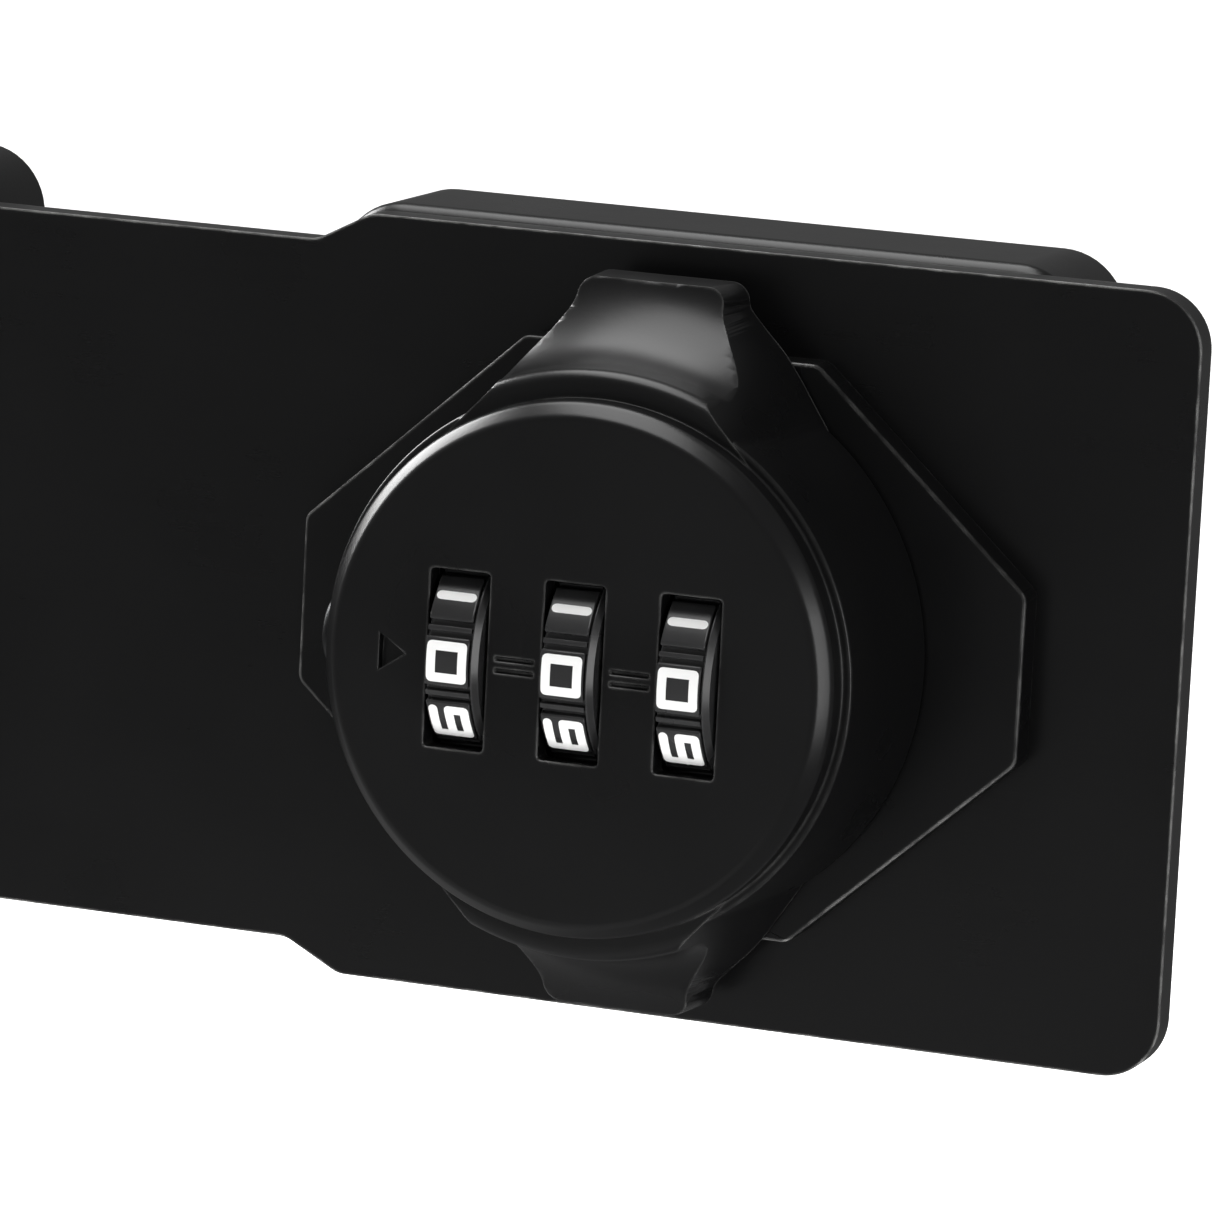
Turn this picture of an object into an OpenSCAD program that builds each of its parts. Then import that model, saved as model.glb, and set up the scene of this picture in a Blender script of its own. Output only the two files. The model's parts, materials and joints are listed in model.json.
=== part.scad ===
// Hasp lock for a cabinet or locker door, closed by a combination knob.
// X runs along the hasp plate with the hinge at the negative end, Y points into
// the door, so the face of the knob looks along -Y, and Z is up. The origin is on
// the spindle's axis, in the plane of the door behind the strike.

/* [Hasp plate] */
// Height of the wide part of the plate
plate_h = 45; // [44:0.5:56]
// Height of the narrow part of the plate, and width of the hinge
neck_h = 41.4; // [34:0.2:43]
// Distance from the spindle to the free end of the plate
plate_reach = 30.7; // [27:0.1:38]
// Distance from the spindle to the middle of the step between the two heights
step_x = 21.3; // [18:0.1:26]
// Length of the sloping step
step_run = 3.4; // [2:0.1:5]
// Thickness of the plate
plate_t = 2; // [1.5:0.1:3]
// Radius of the corners at the free end
plate_corner = 3.4; // [1:0.1:6]

/* [Hinge] */
// Distance from the spindle to the hinge pin
hinge_reach = 88; // [82:0.5:110]
// Outer radius of the hinge knuckles
knuckle_r = 3.5; // [3:0.1:4]
// Diameter of the hinge pin
pin_d = 3; // [2:0.1:3.6]
// Distance from the spindle to the near end of the hinge base
hinge_base_near = 45.5; // [40:0.5:50]

/* [Bases on the door and frame] */
// Depth of both bases, from the door to the front
base_depth = 9; // [8.5:0.5:14]
// Height of both bases
base_h = 45.8; // [44:0.2:60]
// Width of the strike base
strike_w = 45.6; // [42:0.2:60]
// Thickness of the walls of both bases
base_wall = 2.5; // [1.6:0.1:3]
// Radius of the upright corners of both bases
base_corner = 4; // [2:0.5:6]
// Diameter of the mounting screw holes
screw_hole_d = 4.2; // [3.5:0.1:5]
// Distance from a screw hole's centre to the base's edge
screw_inset = 5.8; // [5:0.1:8]

/* [Knob] */
// Radius of the flat face's rim
face_r = 15.2; // [15.2:0.1:20]
// Radius of the foot of the knob
foot_r = 16.4; // [16.2:0.1:24]
// Depth of the knob from its face to its foot
knob_depth = 13; // [12.8:0.1:18]
// Distance from the spindle to the tip of a wing
wing_reach = 21; // [19:0.1:28]
// Width of a wing at its tip
wing_tip_w = 7.8; // [6:0.1:12]
// Thickness of the wall behind the face
face_wall = 1.4; // [1:0.1:1.5]

/* [Flange behind the knob] */
// Length of the flange
flange_w = 44; // [43:0.2:60]
// Height of the flange
flange_h = 33.4; // [33:0.2:50]
// Length of its upright end edges
flange_end = 9.7; // [6:0.1:14]
// Length of its level top and bottom edges
flange_top = 17.8; // [12:0.1:24]
// Thickness of the flange
flange_t = 2.2; // [2:0.1:4]

/* [Number wheels] */
// Radius of a number wheel
wheel_r = 6.15; // [6:0.05:6.6]
// Width of a number wheel
wheel_w = 3.2; // [2.6:0.1:3.4]
// Distance between neighbouring wheels
wheel_pitch = 6.9; // [6.8:0.1:7.2]
// How far the wheels stand out of the face
wheel_proud = 1.1; // [1:0.05:1.5]
// Diameter of the axle of the wheels
axle_d = 3; // [2.4:0.1:3.2]
// Height of the windows in the face
window_h = 10.2; // [10.2:0.1:11]

/* [Spindle and cam] */
// Diameter of the spindle in the flange
spindle_d = 8; // [6.6:0.2:9]
// Length of the cam bar that turns behind the strike
cam_l = 20; // [16:0.5:22]
// Width of the cam bar
cam_w = 5.5; // [5.1:0.1:6.5]
// Thickness of the cam bar
cam_t = 2.5; // [1.5:0.1:3]

/* [Hidden] */
$fn = 64;
COAT = "#1e1e1f";
STEEL = "#a9abae";
DARK_STEEL = "#55575a";
BRASS = "#b89a55";
WHEEL = "#161617";

// Clearances
run_gap = 0.03;        // on the radius of a turning fit
slip_gap = 0.05;       // on the radius of a sliding fit
face_gap = 0.3;        // between faces that pass each other
eps = 0.01;

// The planes of the stack, from the door outwards
strike_inner_y = -(base_depth - base_wall);
plate_back_y = -(base_depth + face_gap);
plate_front_y = plate_back_y - plate_t;
flange_front_y = plate_front_y - flange_t;
knob_foot_y = flange_front_y - face_gap;
face_y = knob_foot_y - knob_depth;
axle_y = face_y - wheel_proud + wheel_r;

// Knob: the rim, the body behind it and the closing plate at its back
rim_chamfer = 0.75;
cap_depth = 2.2;
shoulder_y = face_y + cap_depth;
shoulder_r = face_r + 0.5;
back_plate_t = 1.2;
back_plate_y = knob_foot_y - 0.2;
back_front_y = back_plate_y - back_plate_t;
back_plate_r = foot_r - 3;
recess_floor_y = back_front_y - slip_gap;
case_w = 2 * wheel_pitch + wheel_w + 2 * 1.9;
case_low = wheel_r + 1.05;
bar_room_w = 13.2;
bar_low = wheel_r + 1.85;
bar_h = 1.4;
bar_w = 12.4;
case_high = bar_low + bar_h + 0.4;
bar_front_y = axle_y - 1.25;
window_w = wheel_w + 0.4;
mark_depth = 0.25;
mark_l = 2.3;
mark_w = 0.22;
mark_z = 0.32;
arrow_x = -10.9;
arrow_half = 1.15;
spring_x = 2.5;        // the locking bar's two springs, off the middle
spring_y = 1.1;        // and behind the bar's front
spring_bore_r = 1.15;
back_screw_sink = 0.7;
back_screw_x = 8.1;
back_screw_z = 8.8;
back_screw_r = 0.8;
back_screw_head_r = 1.3;
back_screw_l = 4;
wing_foot_w = 13.4;
wing_spread = 2.6;     // how much wider each side of a wing is where it meets the body
wing_foot_z = 13;
wing_bend_z = 15.4;
wing_neck_w = 8.4;
wing_neck_z = 18.6;
wing_corner = 0.8;
wing_tip_t = 3.2;
wing_top_z = face_r + 1.6;
scoop_r = 6.45;        // hollow for the finger in front of each wing
scoop_y = -6.1;        // its centre, seen from the front edge of the wing's tip
scoop_z = 2.2;

// Code wheels and what turns with them
pads = 10;
pad_step = 360 / pads;
groove_r = 0.55;
groove_centre = wheel_r + 0.1;
sleeve_r = 2.4;
gate_r = wheel_r - wheel_proud - face_wall - 0.25;
gate_t = 1;
gate_at = wheel_w / 2 + 0.15;
gate_w = 1.1;
gate_notch = 0.8;
tooth_w = 0.7;
tooth_gap = 0.2;
nose_r = 0.4;
strip_t = 0.25;
wire_r = 0.2;          // of every coil spring
wheel_x = [-wheel_pitch, 0, wheel_pitch];

hub_gap = 0.05;        // between the hubs of neighbouring sleeves
wheel_edge = 0.3;      // width of the lower step at each end of a wheel
wheel_step = 0.15;     // and its depth

// Reset button at the end of the axle
button_r = 2.15;
button_travel = 0.8;
button_seat_x = -(foot_r - 4.2);
button_in_x = button_seat_x - button_travel - 0.2;
button_l = 3.2;
axle_right_x = 11;
axle_end_x = 13.3;
clip_x = -case_w / 2 + 0.1;
clip_t = 0.55;

// Spindle
spindle_r = spindle_d / 2;
head_square = 6;
neck_r = 3;
ring_bed_r = spindle_r - 0.6;
ring_t = 0.6;
ring_r = spindle_r + 1.4;
washer_t = 0.5;
washer_r = spindle_r + 2.5;
plate_hole_r = washer_r + 0.5;
washer_y = plate_front_y + slip_gap;
ring_y = washer_y + washer_t + slip_gap;
cam_front_y = strike_inner_y + face_gap;
cam_back_y = cam_front_y + cam_t;
cam_square = 5;
cam_screw_r = 1.5;
cam_screw_head_r = 2.7;
cam_screw_head_t = 1.3;
cam_washer_t = 0.5;
cam_washer_r = 3.2;
slot_w = cam_w + 1.5;
slot_l = cam_l + 2.4;

// Stop lug and detent, both on the same circle
track_r = 11;
lug_r = 1.2;
lug_l = 1.1;
track_gap = 0.12;
bump_foot_r = 1;
bump_tip_r = 0.5;
bump_l = 0.7;
pocket_r = 1.25;
pocket_depth = 0.8;
leaf_w = 2.6;
leaf_rivet_x = 6.6;
leaf_rivet_r = 0.6;

// Flange screws, driven from the back of the plate
flange_edge = 0.3;
flange_screw_x = flange_w / 2 - 5.2;
flange_screw_z = 4.5;
flange_screw_r = 1;
flange_screw_head_r = 2.2;
flange_screw_head_t = 1.2;
flange_screw_l = plate_t + flange_t - 0.8;

// Bases
boss_r = 4.4;
sink_r = 4;
sink_depth = 2.2;
base_edge = 0.6;
hinge_y = plate_front_y + knuckle_r;
hinge_base_far = hinge_reach + knuckle_r;
pin_r = pin_d / 2;
knuckles = 5;
knuckle_step = neck_h / knuckles;
knuckle_l = knuckle_step - face_gap;
hinge_clear = 0.35;
notch_clear = 0.45;
pin_head_r = pin_r + 0.8;
pin_head_t = 0.9;
base_foot = -(hinge_y + knuckle_r) - hinge_clear;
hinge_screw_far = hinge_reach - knuckle_r - screw_inset;
hinge_screw_near = hinge_base_near + screw_inset;
hinge_room_far = hinge_reach - knuckle_r - hinge_clear - base_wall;

// ---- Helpers -------------------------------------------------------------

// A flat shape drawn in X and Z, as thick as from one Y plane to the other
module slab(from_y, to_y) {
    translate([0, to_y, 0]) rotate([90, 0, 0]) linear_extrude(to_y - from_y) children();
}

// A round bar along Y, with a radius at each end
module rod_y(from_y, to_y, r, r_to = undef) {
    translate([0, from_y, 0]) rotate([-90, 0, 0])
        cylinder(h = to_y - from_y, r1 = r, r2 = is_undef(r_to) ? r : r_to);
}

// A round bar along X
module rod_x(from_x, to_x, r) {
    translate([from_x, 0, 0]) rotate([0, 90, 0]) cylinder(h = to_x - from_x, r = r);
}

// A rectangle with round corners
module rounded(w, h, r) {
    square([w - 2 * r, h], center = true);
    square([w, h - 2 * r], center = true);
    for (x = [-1, 1], z = [-1, 1]) translate([x * (w / 2 - r), z * (h / 2 - r)]) circle(r);
}

// A countersunk screw along Y: its flat head at head_y, its point further towards -Y
module sunk_screw(head_y, point_y, head_r, shank_r, head_t) {
    arm = head_r * 0.55;
    recess = head_t * 0.6;
    difference() {
        union() {
            rod_y(head_y - head_t, head_y, shank_r, head_r);
            rod_y(point_y, head_y - head_t + eps, shank_r);
        }
        for (turn = [0, 90]) rotate([0, turn, 0])
            translate([-arm, head_y - recess, -arm / 5]) cube([2 * arm, 2 * recess, arm / 2.5]);
    }
}

// A coil spring along Z, from z = 0 to z = length
function ring_points(mean_r, wire_r, length, turns, i, steps, sides) =
    let (a = 360 * turns * i / steps, z = wire_r + (length - 2 * wire_r) * i / steps)
    [for (k = [0 : sides - 1])
        let (b = 360 * k / sides, r = mean_r + wire_r * cos(b))
        [r * cos(a), r * sin(a), z + wire_r * sin(b)]];
module coil(mean_r, wire_r, length, turns) {
    sides = 8;
    steps = ceil(turns * 14);
    rings = [for (i = [0 : steps]) each ring_points(mean_r, wire_r, length, turns, i, steps, sides)];
    walls = [for (i = [0 : steps - 1], k = [0 : sides - 1])
        [i * sides + k, i * sides + (k + 1) % sides,
            (i + 1) * sides + (k + 1) % sides, (i + 1) * sides + k]];
    polyhedron(rings, concat(walls, [[for (k = [sides - 1 : -1 : 0]) k]],
        [[for (k = [0 : sides - 1]) steps * sides + k]]));
}

// ---- Bases ---------------------------------------------------------------

// A cast box with a rounded outline, a softened front edge and an open back
module base_box(w, h) {
    slab(-(base_depth - base_edge), 0) rounded(w, h, base_corner);
    slab(-base_depth, -(base_depth - base_edge) + eps)
        rounded(w - 2 * base_edge, h - 2 * base_edge, base_corner - base_edge);
}

// Hollow of a base, with a boss left round each screw hole
module base_hollow(from_x, to_x, holes) {
    w = to_x - from_x;
    h = base_h - 2 * base_wall;
    difference() {
        translate([(from_x + to_x) / 2, 0, 0]) slab(strike_inner_y, eps) rounded(w, h, 1.5);
        for (p = holes) translate([p[0], 0, p[1]]) rod_y(strike_inner_y - 1, 1, boss_r);
    }
}

// A mounting hole, sunk from the front
module mount_hole() {
    rod_y(-(base_depth + 1), 1, screw_hole_d / 2);
    rod_y(-(base_depth + eps), -(base_depth - sink_depth), sink_r, screw_hole_d / 2);
}

strike_holes = [for (x = [-1, 1], z = [-1, 1])
    [x * (strike_w / 2 - screw_inset), z * (base_h / 2 - screw_inset)]];
hinge_holes = [for (x = [-hinge_screw_far, -hinge_screw_near], z = [-1, 1])
    [x, z * (base_h / 2 - screw_inset)]];

module strike_base() color(COAT) difference() {
    base_box(strike_w, base_h);
    base_hollow(-strike_w / 2 + base_wall, strike_w / 2 - base_wall, strike_holes);
    for (p = strike_holes) translate([p[0], 0, p[1]]) mount_hole();
    slab(-(base_depth + 1), strike_inner_y + 1) rounded(slot_w, slot_l, slot_w / 2 - eps);
}

// Height of the middle of one knuckle, counted from below
function knuckle_z(i) = (i - (knuckles - 1) / 2) * knuckle_step;

// The round barrel of one knuckle
module barrel(i) translate([-hinge_reach, hinge_y, knuckle_z(i) - knuckle_l / 2])
    cylinder(h = knuckle_l, r = knuckle_r);

// One base knuckle: the barrel and its foot down to the door
module base_knuckle(i) {
    barrel(i);
    translate([-hinge_base_far, hinge_y, knuckle_z(i) - knuckle_l / 2])
        cube([2 * knuckle_r, -hinge_y, knuckle_l]);
}

module hinge_base() color(COAT) {
    far = hinge_reach - knuckle_r - hinge_clear;
    difference() {
        union() {
            difference() {
                translate([-(hinge_base_far + hinge_base_near) / 2, 0, 0])
                    base_box(hinge_base_far - hinge_base_near, base_h);
                translate([-hinge_base_far - 1, -(base_depth + 1), -base_h])
                    cube([hinge_base_far - far + 1, base_depth + 1 - base_foot, 2 * base_h]);
            }
            for (i = [0 : 2 : knuckles - 1]) base_knuckle(i);
        }
        base_hollow(-hinge_room_far, -hinge_base_near - base_wall, hinge_holes);
        for (p = hinge_holes) translate([p[0], 0, p[1]]) mount_hole();
        translate([-hinge_reach, hinge_y, -base_h]) cylinder(h = 2 * base_h, r = pin_r);
    }
}

module hinge_pin() color(DARK_STEEL) translate([-hinge_reach, hinge_y, 0]) {
    translate([0, 0, -neck_h / 2]) cylinder(h = neck_h, r = pin_r);
    for (side = [0, 1]) mirror([0, 0, side]) translate([0, 0, neck_h / 2 - face_gap / 2])
        cylinder(h = pin_head_t, r1 = pin_head_r, r2 = pin_head_r - 0.4);
}

// ---- Hasp plate and flange ------------------------------------------------

// Upper half of the plate's outline; it is mirrored for the lower half
module plate_half() {
    wide = plate_h / 2;
    neck = neck_h / 2;
    polygon([[-hinge_reach, -1], [-hinge_reach, neck], [-step_x - step_run / 2, neck],
        [-step_x + step_run / 2, wide], [plate_reach - plate_corner, wide],
        [plate_reach - plate_corner, wide - plate_corner],
        [plate_reach, wide - plate_corner], [plate_reach, -1]]);
    translate([plate_reach - plate_corner, wide - plate_corner]) circle(plate_corner);
}

module hasp_plate() color(COAT) difference() {
    union() {
        slab(plate_front_y, plate_back_y) {
            plate_half();
            mirror([0, 1]) plate_half();
        }
        for (i = [1 : 2 : knuckles - 1]) barrel(i);
    }
    for (i = [0 : 2 : knuckles - 1])
        translate([-hinge_base_far - 1, plate_front_y - 1, knuckle_z(i) - (knuckle_step + face_gap) / 2])
            cube([2 * knuckle_r + 1 + notch_clear, plate_t + 2, knuckle_step + face_gap]);
    translate([-hinge_reach, hinge_y, -neck_h]) cylinder(h = 2 * neck_h, r = pin_r + run_gap);
    rod_y(plate_front_y - 1, plate_back_y + 1, plate_hole_r);
    for (x = [-1, 1], z = [-1, 1]) translate([x * flange_screw_x, 0, z * flange_screw_z]) {
        rod_y(plate_front_y - 1, plate_back_y + 1, flange_screw_r);
        rod_y(plate_back_y - flange_screw_head_t, plate_back_y, flange_screw_r, flange_screw_head_r);
    }
}

// Eight-sided outline of the flange, drawn smaller by inset for its front edge
module flange_shape(inset = 0) {
    half_w = flange_w / 2 - inset;
    half_h = flange_h / 2 - inset;
    end = (flange_end - inset) / 2;
    top = (flange_top - inset) / 2;
    polygon([[top, half_h], [half_w, end], [half_w, -end], [top, -half_h],
        [-top, -half_h], [-half_w, -end], [-half_w, end], [-top, half_h]]);
}

module lock_flange() color(COAT) difference() {
    union() {
        slab(flange_front_y + flange_edge, plate_front_y) flange_shape();
        slab(flange_front_y, flange_front_y + flange_edge + eps) flange_shape(flange_edge);
    }
    rod_y(flange_front_y - 1, plate_front_y + 1, spindle_r + slip_gap);
    // Track of the stop lug, a quarter turn from -X to +Z
    translate([0, flange_front_y + lug_l - face_gap, 0]) rotate([90, 0, 0]) {
        rotate([0, 0, 90]) rotate_extrude(angle = 90)
            translate([track_r - lug_r - track_gap, 0]) square([2 * (lug_r + track_gap), lug_l + 1]);
        for (a = [90, 180]) rotate([0, 0, a]) translate([track_r, 0, 0])
            cylinder(h = lug_l + 1, r = lug_r + track_gap);
    }
    // Detent pockets for the unlocked and the locked position
    for (a = [0, 90]) rotate([0, a, 0]) translate([track_r, 0, 0])
        rod_y(flange_front_y - 1, flange_front_y + pocket_depth, pocket_r);
    for (x = [-1, 1], z = [-1, 1]) translate([x * flange_screw_x, 0, z * flange_screw_z])
        rod_y(plate_back_y - flange_screw_l, plate_front_y + 1, flange_screw_r);
}

module flange_screws() color(STEEL)
    for (x = [-1, 1], z = [-1, 1]) translate([x * flange_screw_x, 0, z * flange_screw_z])
        sunk_screw(plate_back_y, plate_back_y - flange_screw_l, flange_screw_head_r,
            flange_screw_r, flange_screw_head_t);

// ---- Knob ------------------------------------------------------------------

// Outline of one wing, seen from the front: a foot that spreads into the body
module wing_outline() {
    foot = wing_foot_w / 2;
    tip = wing_tip_w / 2;
    half = [[foot + wing_spread, wing_foot_z], [foot, wing_bend_z], [wing_neck_w / 2, wing_neck_z],
        [tip, wing_reach - wing_corner], [tip - wing_corner, wing_reach]];
    polygon(concat(half, [for (i = [len(half) - 1 : -1 : 0]) [-half[i][0], half[i][1]]]));
}

// The wings' depth at each distance from the spindle: a shoulder round the body, a hollow
// for the finger, and the tip. X is that distance here, and Y is the knob's own depth
module wing_side() {
    tip_y = knob_foot_y - wing_tip_t;
    outer = wing_reach + 2;
    difference() {
        polygon([[0, knob_foot_y], [0, shoulder_y], [wing_top_z - 1.2, shoulder_y],
            [wing_top_z, shoulder_y + 1.4], [wing_reach, tip_y], [outer, tip_y], [outer, knob_foot_y]]);
        translate([wing_reach + scoop_z, tip_y + scoop_y]) circle(scoop_r);
    }
}

module wing() intersection() {
    slab(shoulder_y, knob_foot_y) wing_outline();
    rotate([-90, 0, 0]) rotate_extrude() wing_side();
}

// Room for the wheels and, above them, for the locking bar
module knob_case() {
    translate([-case_w / 2, face_y + face_wall, -case_low])
        cube([case_w, recess_floor_y + 1 - face_y - face_wall, 2 * case_low]);
    translate([-bar_room_w / 2, bar_front_y - face_gap, 0])
        cube([bar_room_w, recess_floor_y + 1 - bar_front_y + face_gap, case_high]);
}

module knob_body() color(COAT) difference() {
    union() {
        rod_y(face_y, face_y + rim_chamfer, face_r - rim_chamfer, face_r);
        rod_y(face_y + rim_chamfer - eps, shoulder_y + eps, face_r);
        rod_y(shoulder_y, knob_foot_y, shoulder_r, foot_r);
        for (side = [0, 1]) mirror([0, 0, side]) wing();
    }
    knob_case();
    rod_y(recess_floor_y, knob_foot_y + 1, back_plate_r + slip_gap);
    for (x = wheel_x) translate([x - window_w / 2, face_y - 1, -window_h / 2])
        cube([window_w, face_wall + 2, window_h]);
    translate([0, axle_y, 0]) {
        rod_x(button_seat_x - 1, axle_end_x, axle_d / 2 + slip_gap);
        rod_x(-foot_r - 3, button_seat_x, button_r + slip_gap);
    }
    for (x = [-1, 1], z = [-1, 1]) translate([x * back_screw_x, 0, z * back_screw_z])
        rod_y(back_plate_y - back_screw_l, recess_floor_y + 1, back_screw_r);
    for (x = [-1, 1]) translate([x * spring_x, bar_front_y + spring_y, case_high - 1])
        cylinder(h = 3, r = spring_bore_r);
    // Index arrow beside the first window and marks between the windows
    slab(face_y - 1, face_y + mark_depth) {
        translate([arrow_x, 0]) polygon([[0.9, 0], [-0.8, arrow_half], [-0.8, -arrow_half]]);
        for (x = [-wheel_pitch / 2, wheel_pitch / 2], z = [-mark_z, mark_z])
            translate([x, z]) square([mark_l, mark_w], center = true);
    }
}

module back_plate() color(STEEL) difference() {
    union() {
        rod_y(back_front_y, back_plate_y, back_plate_r);
        translate([-track_r, 0, 0]) rod_y(back_plate_y - eps, back_plate_y + lug_l, lug_r);
    }
    translate([-head_square / 2, back_front_y - 1, -head_square / 2])
        cube([head_square, back_plate_t + 2, head_square]);
    for (x = [-1, 1], z = [-1, 1]) translate([x * back_screw_x, 0, z * back_screw_z]) {
        rod_y(back_front_y - 1, back_plate_y + 1, back_screw_r);
        rod_y(back_plate_y - back_screw_sink, back_plate_y, back_screw_r, back_screw_head_r);
    }
    translate([leaf_rivet_x, 0, 0]) rod_y(back_front_y - 1, back_plate_y + 1, leaf_rivet_r);
}

module back_plate_screws() color(STEEL)
    for (x = [-1, 1], z = [-1, 1]) translate([x * back_screw_x, 0, z * back_screw_z])
        sunk_screw(back_plate_y, back_plate_y - back_screw_l, back_screw_head_r, back_screw_r,
            back_screw_sink);

// ---- Spindle, its retainers and the cam ---------------------------------------

module spindle() color(STEEL) difference() {
    union() {
        translate([-head_square / 2, back_front_y, -head_square / 2])
            cube([head_square, back_plate_t + eps, head_square]);
        rod_y(back_plate_y, flange_front_y - 0.1, spindle_r + 1);
        rod_y(back_plate_y, ring_y - slip_gap, spindle_r);
        rod_y(ring_y - slip_gap - eps, ring_y + ring_t + slip_gap + eps, ring_bed_r);
        rod_y(ring_y + ring_t + slip_gap, plate_back_y, spindle_r);
        rod_y(plate_back_y - eps, cam_front_y, neck_r);
        translate([-cam_square / 2, cam_front_y - eps, -cam_square / 2])
            cube([cam_square, cam_t, cam_square]);
    }
    rod_y(cam_back_y - cam_t - 3.5, cam_back_y + 1, cam_screw_r);
}

module spindle_washer() color(STEEL) difference() {
    rod_y(washer_y, washer_y + washer_t, washer_r);
    rod_y(washer_y - 1, washer_y + washer_t + 1, spindle_r);
}

module retaining_ring() color(DARK_STEEL) difference() {
    rod_y(ring_y, ring_y + ring_t, ring_r);
    rod_y(ring_y - 1, ring_y + ring_t + 1, ring_bed_r);
    translate([-1.4, ring_y - 1, -ring_r - 1]) cube([2.8, ring_t + 2, ring_r + 1 - ring_bed_r * 0.6]);
    for (x = [-1, 1]) translate([x * 2.5, 0, -ring_r + 1.2]) rod_y(ring_y - 1, ring_y + ring_t + 1, 0.4);
}

module cam_bar() color(STEEL) difference() {
    slab(cam_front_y, cam_back_y) rounded(cam_w, cam_l, 2);
    translate([-cam_square / 2, cam_front_y - 1, -cam_square / 2])
        cube([cam_square, cam_t + 2, cam_square]);
}

module cam_washer() color(STEEL) difference() {
    rod_y(cam_back_y, cam_back_y + cam_washer_t, cam_washer_r);
    rod_y(cam_back_y - 1, cam_back_y + cam_washer_t + 1, cam_screw_r);
}

module cam_screw() color(DARK_STEEL) {
    head_y = cam_back_y + cam_washer_t;
    arm = cam_screw_head_r * 0.6;
    difference() {
        union() {
            rod_y(head_y, head_y + cam_screw_head_t, cam_screw_head_r, cam_screw_head_r - 0.4);
            rod_y(cam_back_y - cam_t - 3, head_y + eps, cam_screw_r);
        }
        for (turn = [0, 90]) rotate([0, turn, 0])
            translate([-arm, head_y + cam_screw_head_t - 0.8, -arm / 5]) cube([2 * arm, 1, arm / 2.5]);
    }
}

module detent_leaf() color(STEEL) difference() {
    union() {
        translate([leaf_rivet_x - 1.2, back_plate_y, -leaf_w / 2])
            cube([track_r - leaf_rivet_x + 2.6, strip_t, leaf_w]);
        translate([track_r, 0, 0])
            rod_y(back_plate_y + strip_t - eps, back_plate_y + strip_t + bump_l, bump_foot_r, bump_tip_r);
    }
    translate([leaf_rivet_x, 0, 0]) rod_y(back_plate_y - 1, back_plate_y + 1, leaf_rivet_r);
}

module detent_rivet() color(BRASS) translate([leaf_rivet_x, 0, 0]) {
    rod_y(back_front_y, back_plate_y + strip_t, leaf_rivet_r);
    rod_y(back_plate_y + strip_t, back_plate_y + strip_t + 0.15, leaf_rivet_r + 0.4);
}

// ---- Number wheels ---------------------------------------------------------------

// One wheel, with a groove between each two of its ten raised pads
module wheel_at(x) translate([x, axle_y, 0]) difference() {
    union() {
        rod_x(-wheel_w / 2, wheel_w / 2, wheel_r - wheel_step);
        rod_x(-wheel_w / 2 + wheel_edge, wheel_w / 2 - wheel_edge, wheel_r);
    }
    rod_x(-wheel_w, wheel_w, sleeve_r);
    for (k = [0 : pads - 1]) rotate([pad_step * (k + 0.5), 0, 0])
        translate([0, groove_centre, 0]) rod_x(-wheel_w, wheel_w, groove_r);
}

module wheel_left() color(WHEEL) wheel_at(wheel_x[0]);
module wheel_middle() color(WHEEL) wheel_at(wheel_x[1]);
module wheel_right() color(WHEEL) wheel_at(wheel_x[2]);

// A code sleeve: a hub in the wheel, and beside it a gate disc with one notch on top
module code_sleeve_at(x, side, hub_end) translate([x, axle_y, 0]) mirror([side < 0 ? 1 : 0, 0, 0])
    difference() {
        union() {
            rod_x(-wheel_w / 2, hub_end, sleeve_r);
            rod_x(gate_at, gate_at + gate_t, gate_r);
        }
        rod_x(-wheel_w, 2 * wheel_pitch, axle_d / 2 + run_gap);
        translate([gate_at - 0.1, -gate_w / 2, gate_r - gate_notch]) cube([gate_t + 0.2, gate_w, 2]);
    }

module code_sleeve_left() color(BRASS)
    code_sleeve_at(wheel_x[0], 1, wheel_pitch - wheel_w / 2 - hub_gap);
module code_sleeve_middle() color(BRASS)
    code_sleeve_at(wheel_x[1], 1, wheel_pitch / 2 - hub_gap / 2);
module code_sleeve_right() color(BRASS)
    code_sleeve_at(wheel_x[2], -1, wheel_pitch / 2 - hub_gap / 2);

module wheel_spacer() color(STEEL) translate([0, axle_y, 0]) difference() {
    rod_x(wheel_pitch + wheel_w / 2 + hub_gap, case_w / 2, sleeve_r - 0.3);
    rod_x(0, case_w, axle_d / 2 + slip_gap);
}

// A formed strip on the floor of the case, whose nose clicks into the wheel's grooves
module click_spring_at(x) translate([x, 0, -case_low]) {
    w = wheel_w - 0.8;
    front = face_y + face_wall + 1.2;
    translate([-w / 2, front, 0]) cube([w, recess_floor_y - front, strip_t]);
    translate([-w / 2, axle_y - nose_r, strip_t - eps]) cube([w, 2 * nose_r, case_low - wheel_r - strip_t]);
    translate([0, axle_y, case_low - wheel_r]) rod_x(-w / 2, w / 2, nose_r);
}

module click_spring_left() color(STEEL) click_spring_at(wheel_x[0]);
module click_spring_middle() color(STEEL) click_spring_at(wheel_x[1]);
module click_spring_right() color(STEEL) click_spring_at(wheel_x[2]);

module wheel_axle() color(STEEL) translate([0, axle_y, 0]) difference() {
    rod_x(button_in_x - 1.2, axle_right_x, axle_d / 2);
    difference() {
        rod_x(clip_x, clip_x + clip_t, axle_d);
        rod_x(clip_x - 1, clip_x + clip_t + 1, axle_d / 2 - 0.4);
    }
}

module axle_clip() color(DARK_STEEL) translate([0, axle_y, 0]) difference() {
    rod_x(clip_x, clip_x + clip_t, axle_d / 2 + 0.9);
    rod_x(clip_x - 1, clip_x + clip_t + 1, axle_d / 2 - 0.4);
    translate([clip_x - 1, -1, -axle_d]) cube([clip_t + 2, 2, axle_d]);
}

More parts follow.
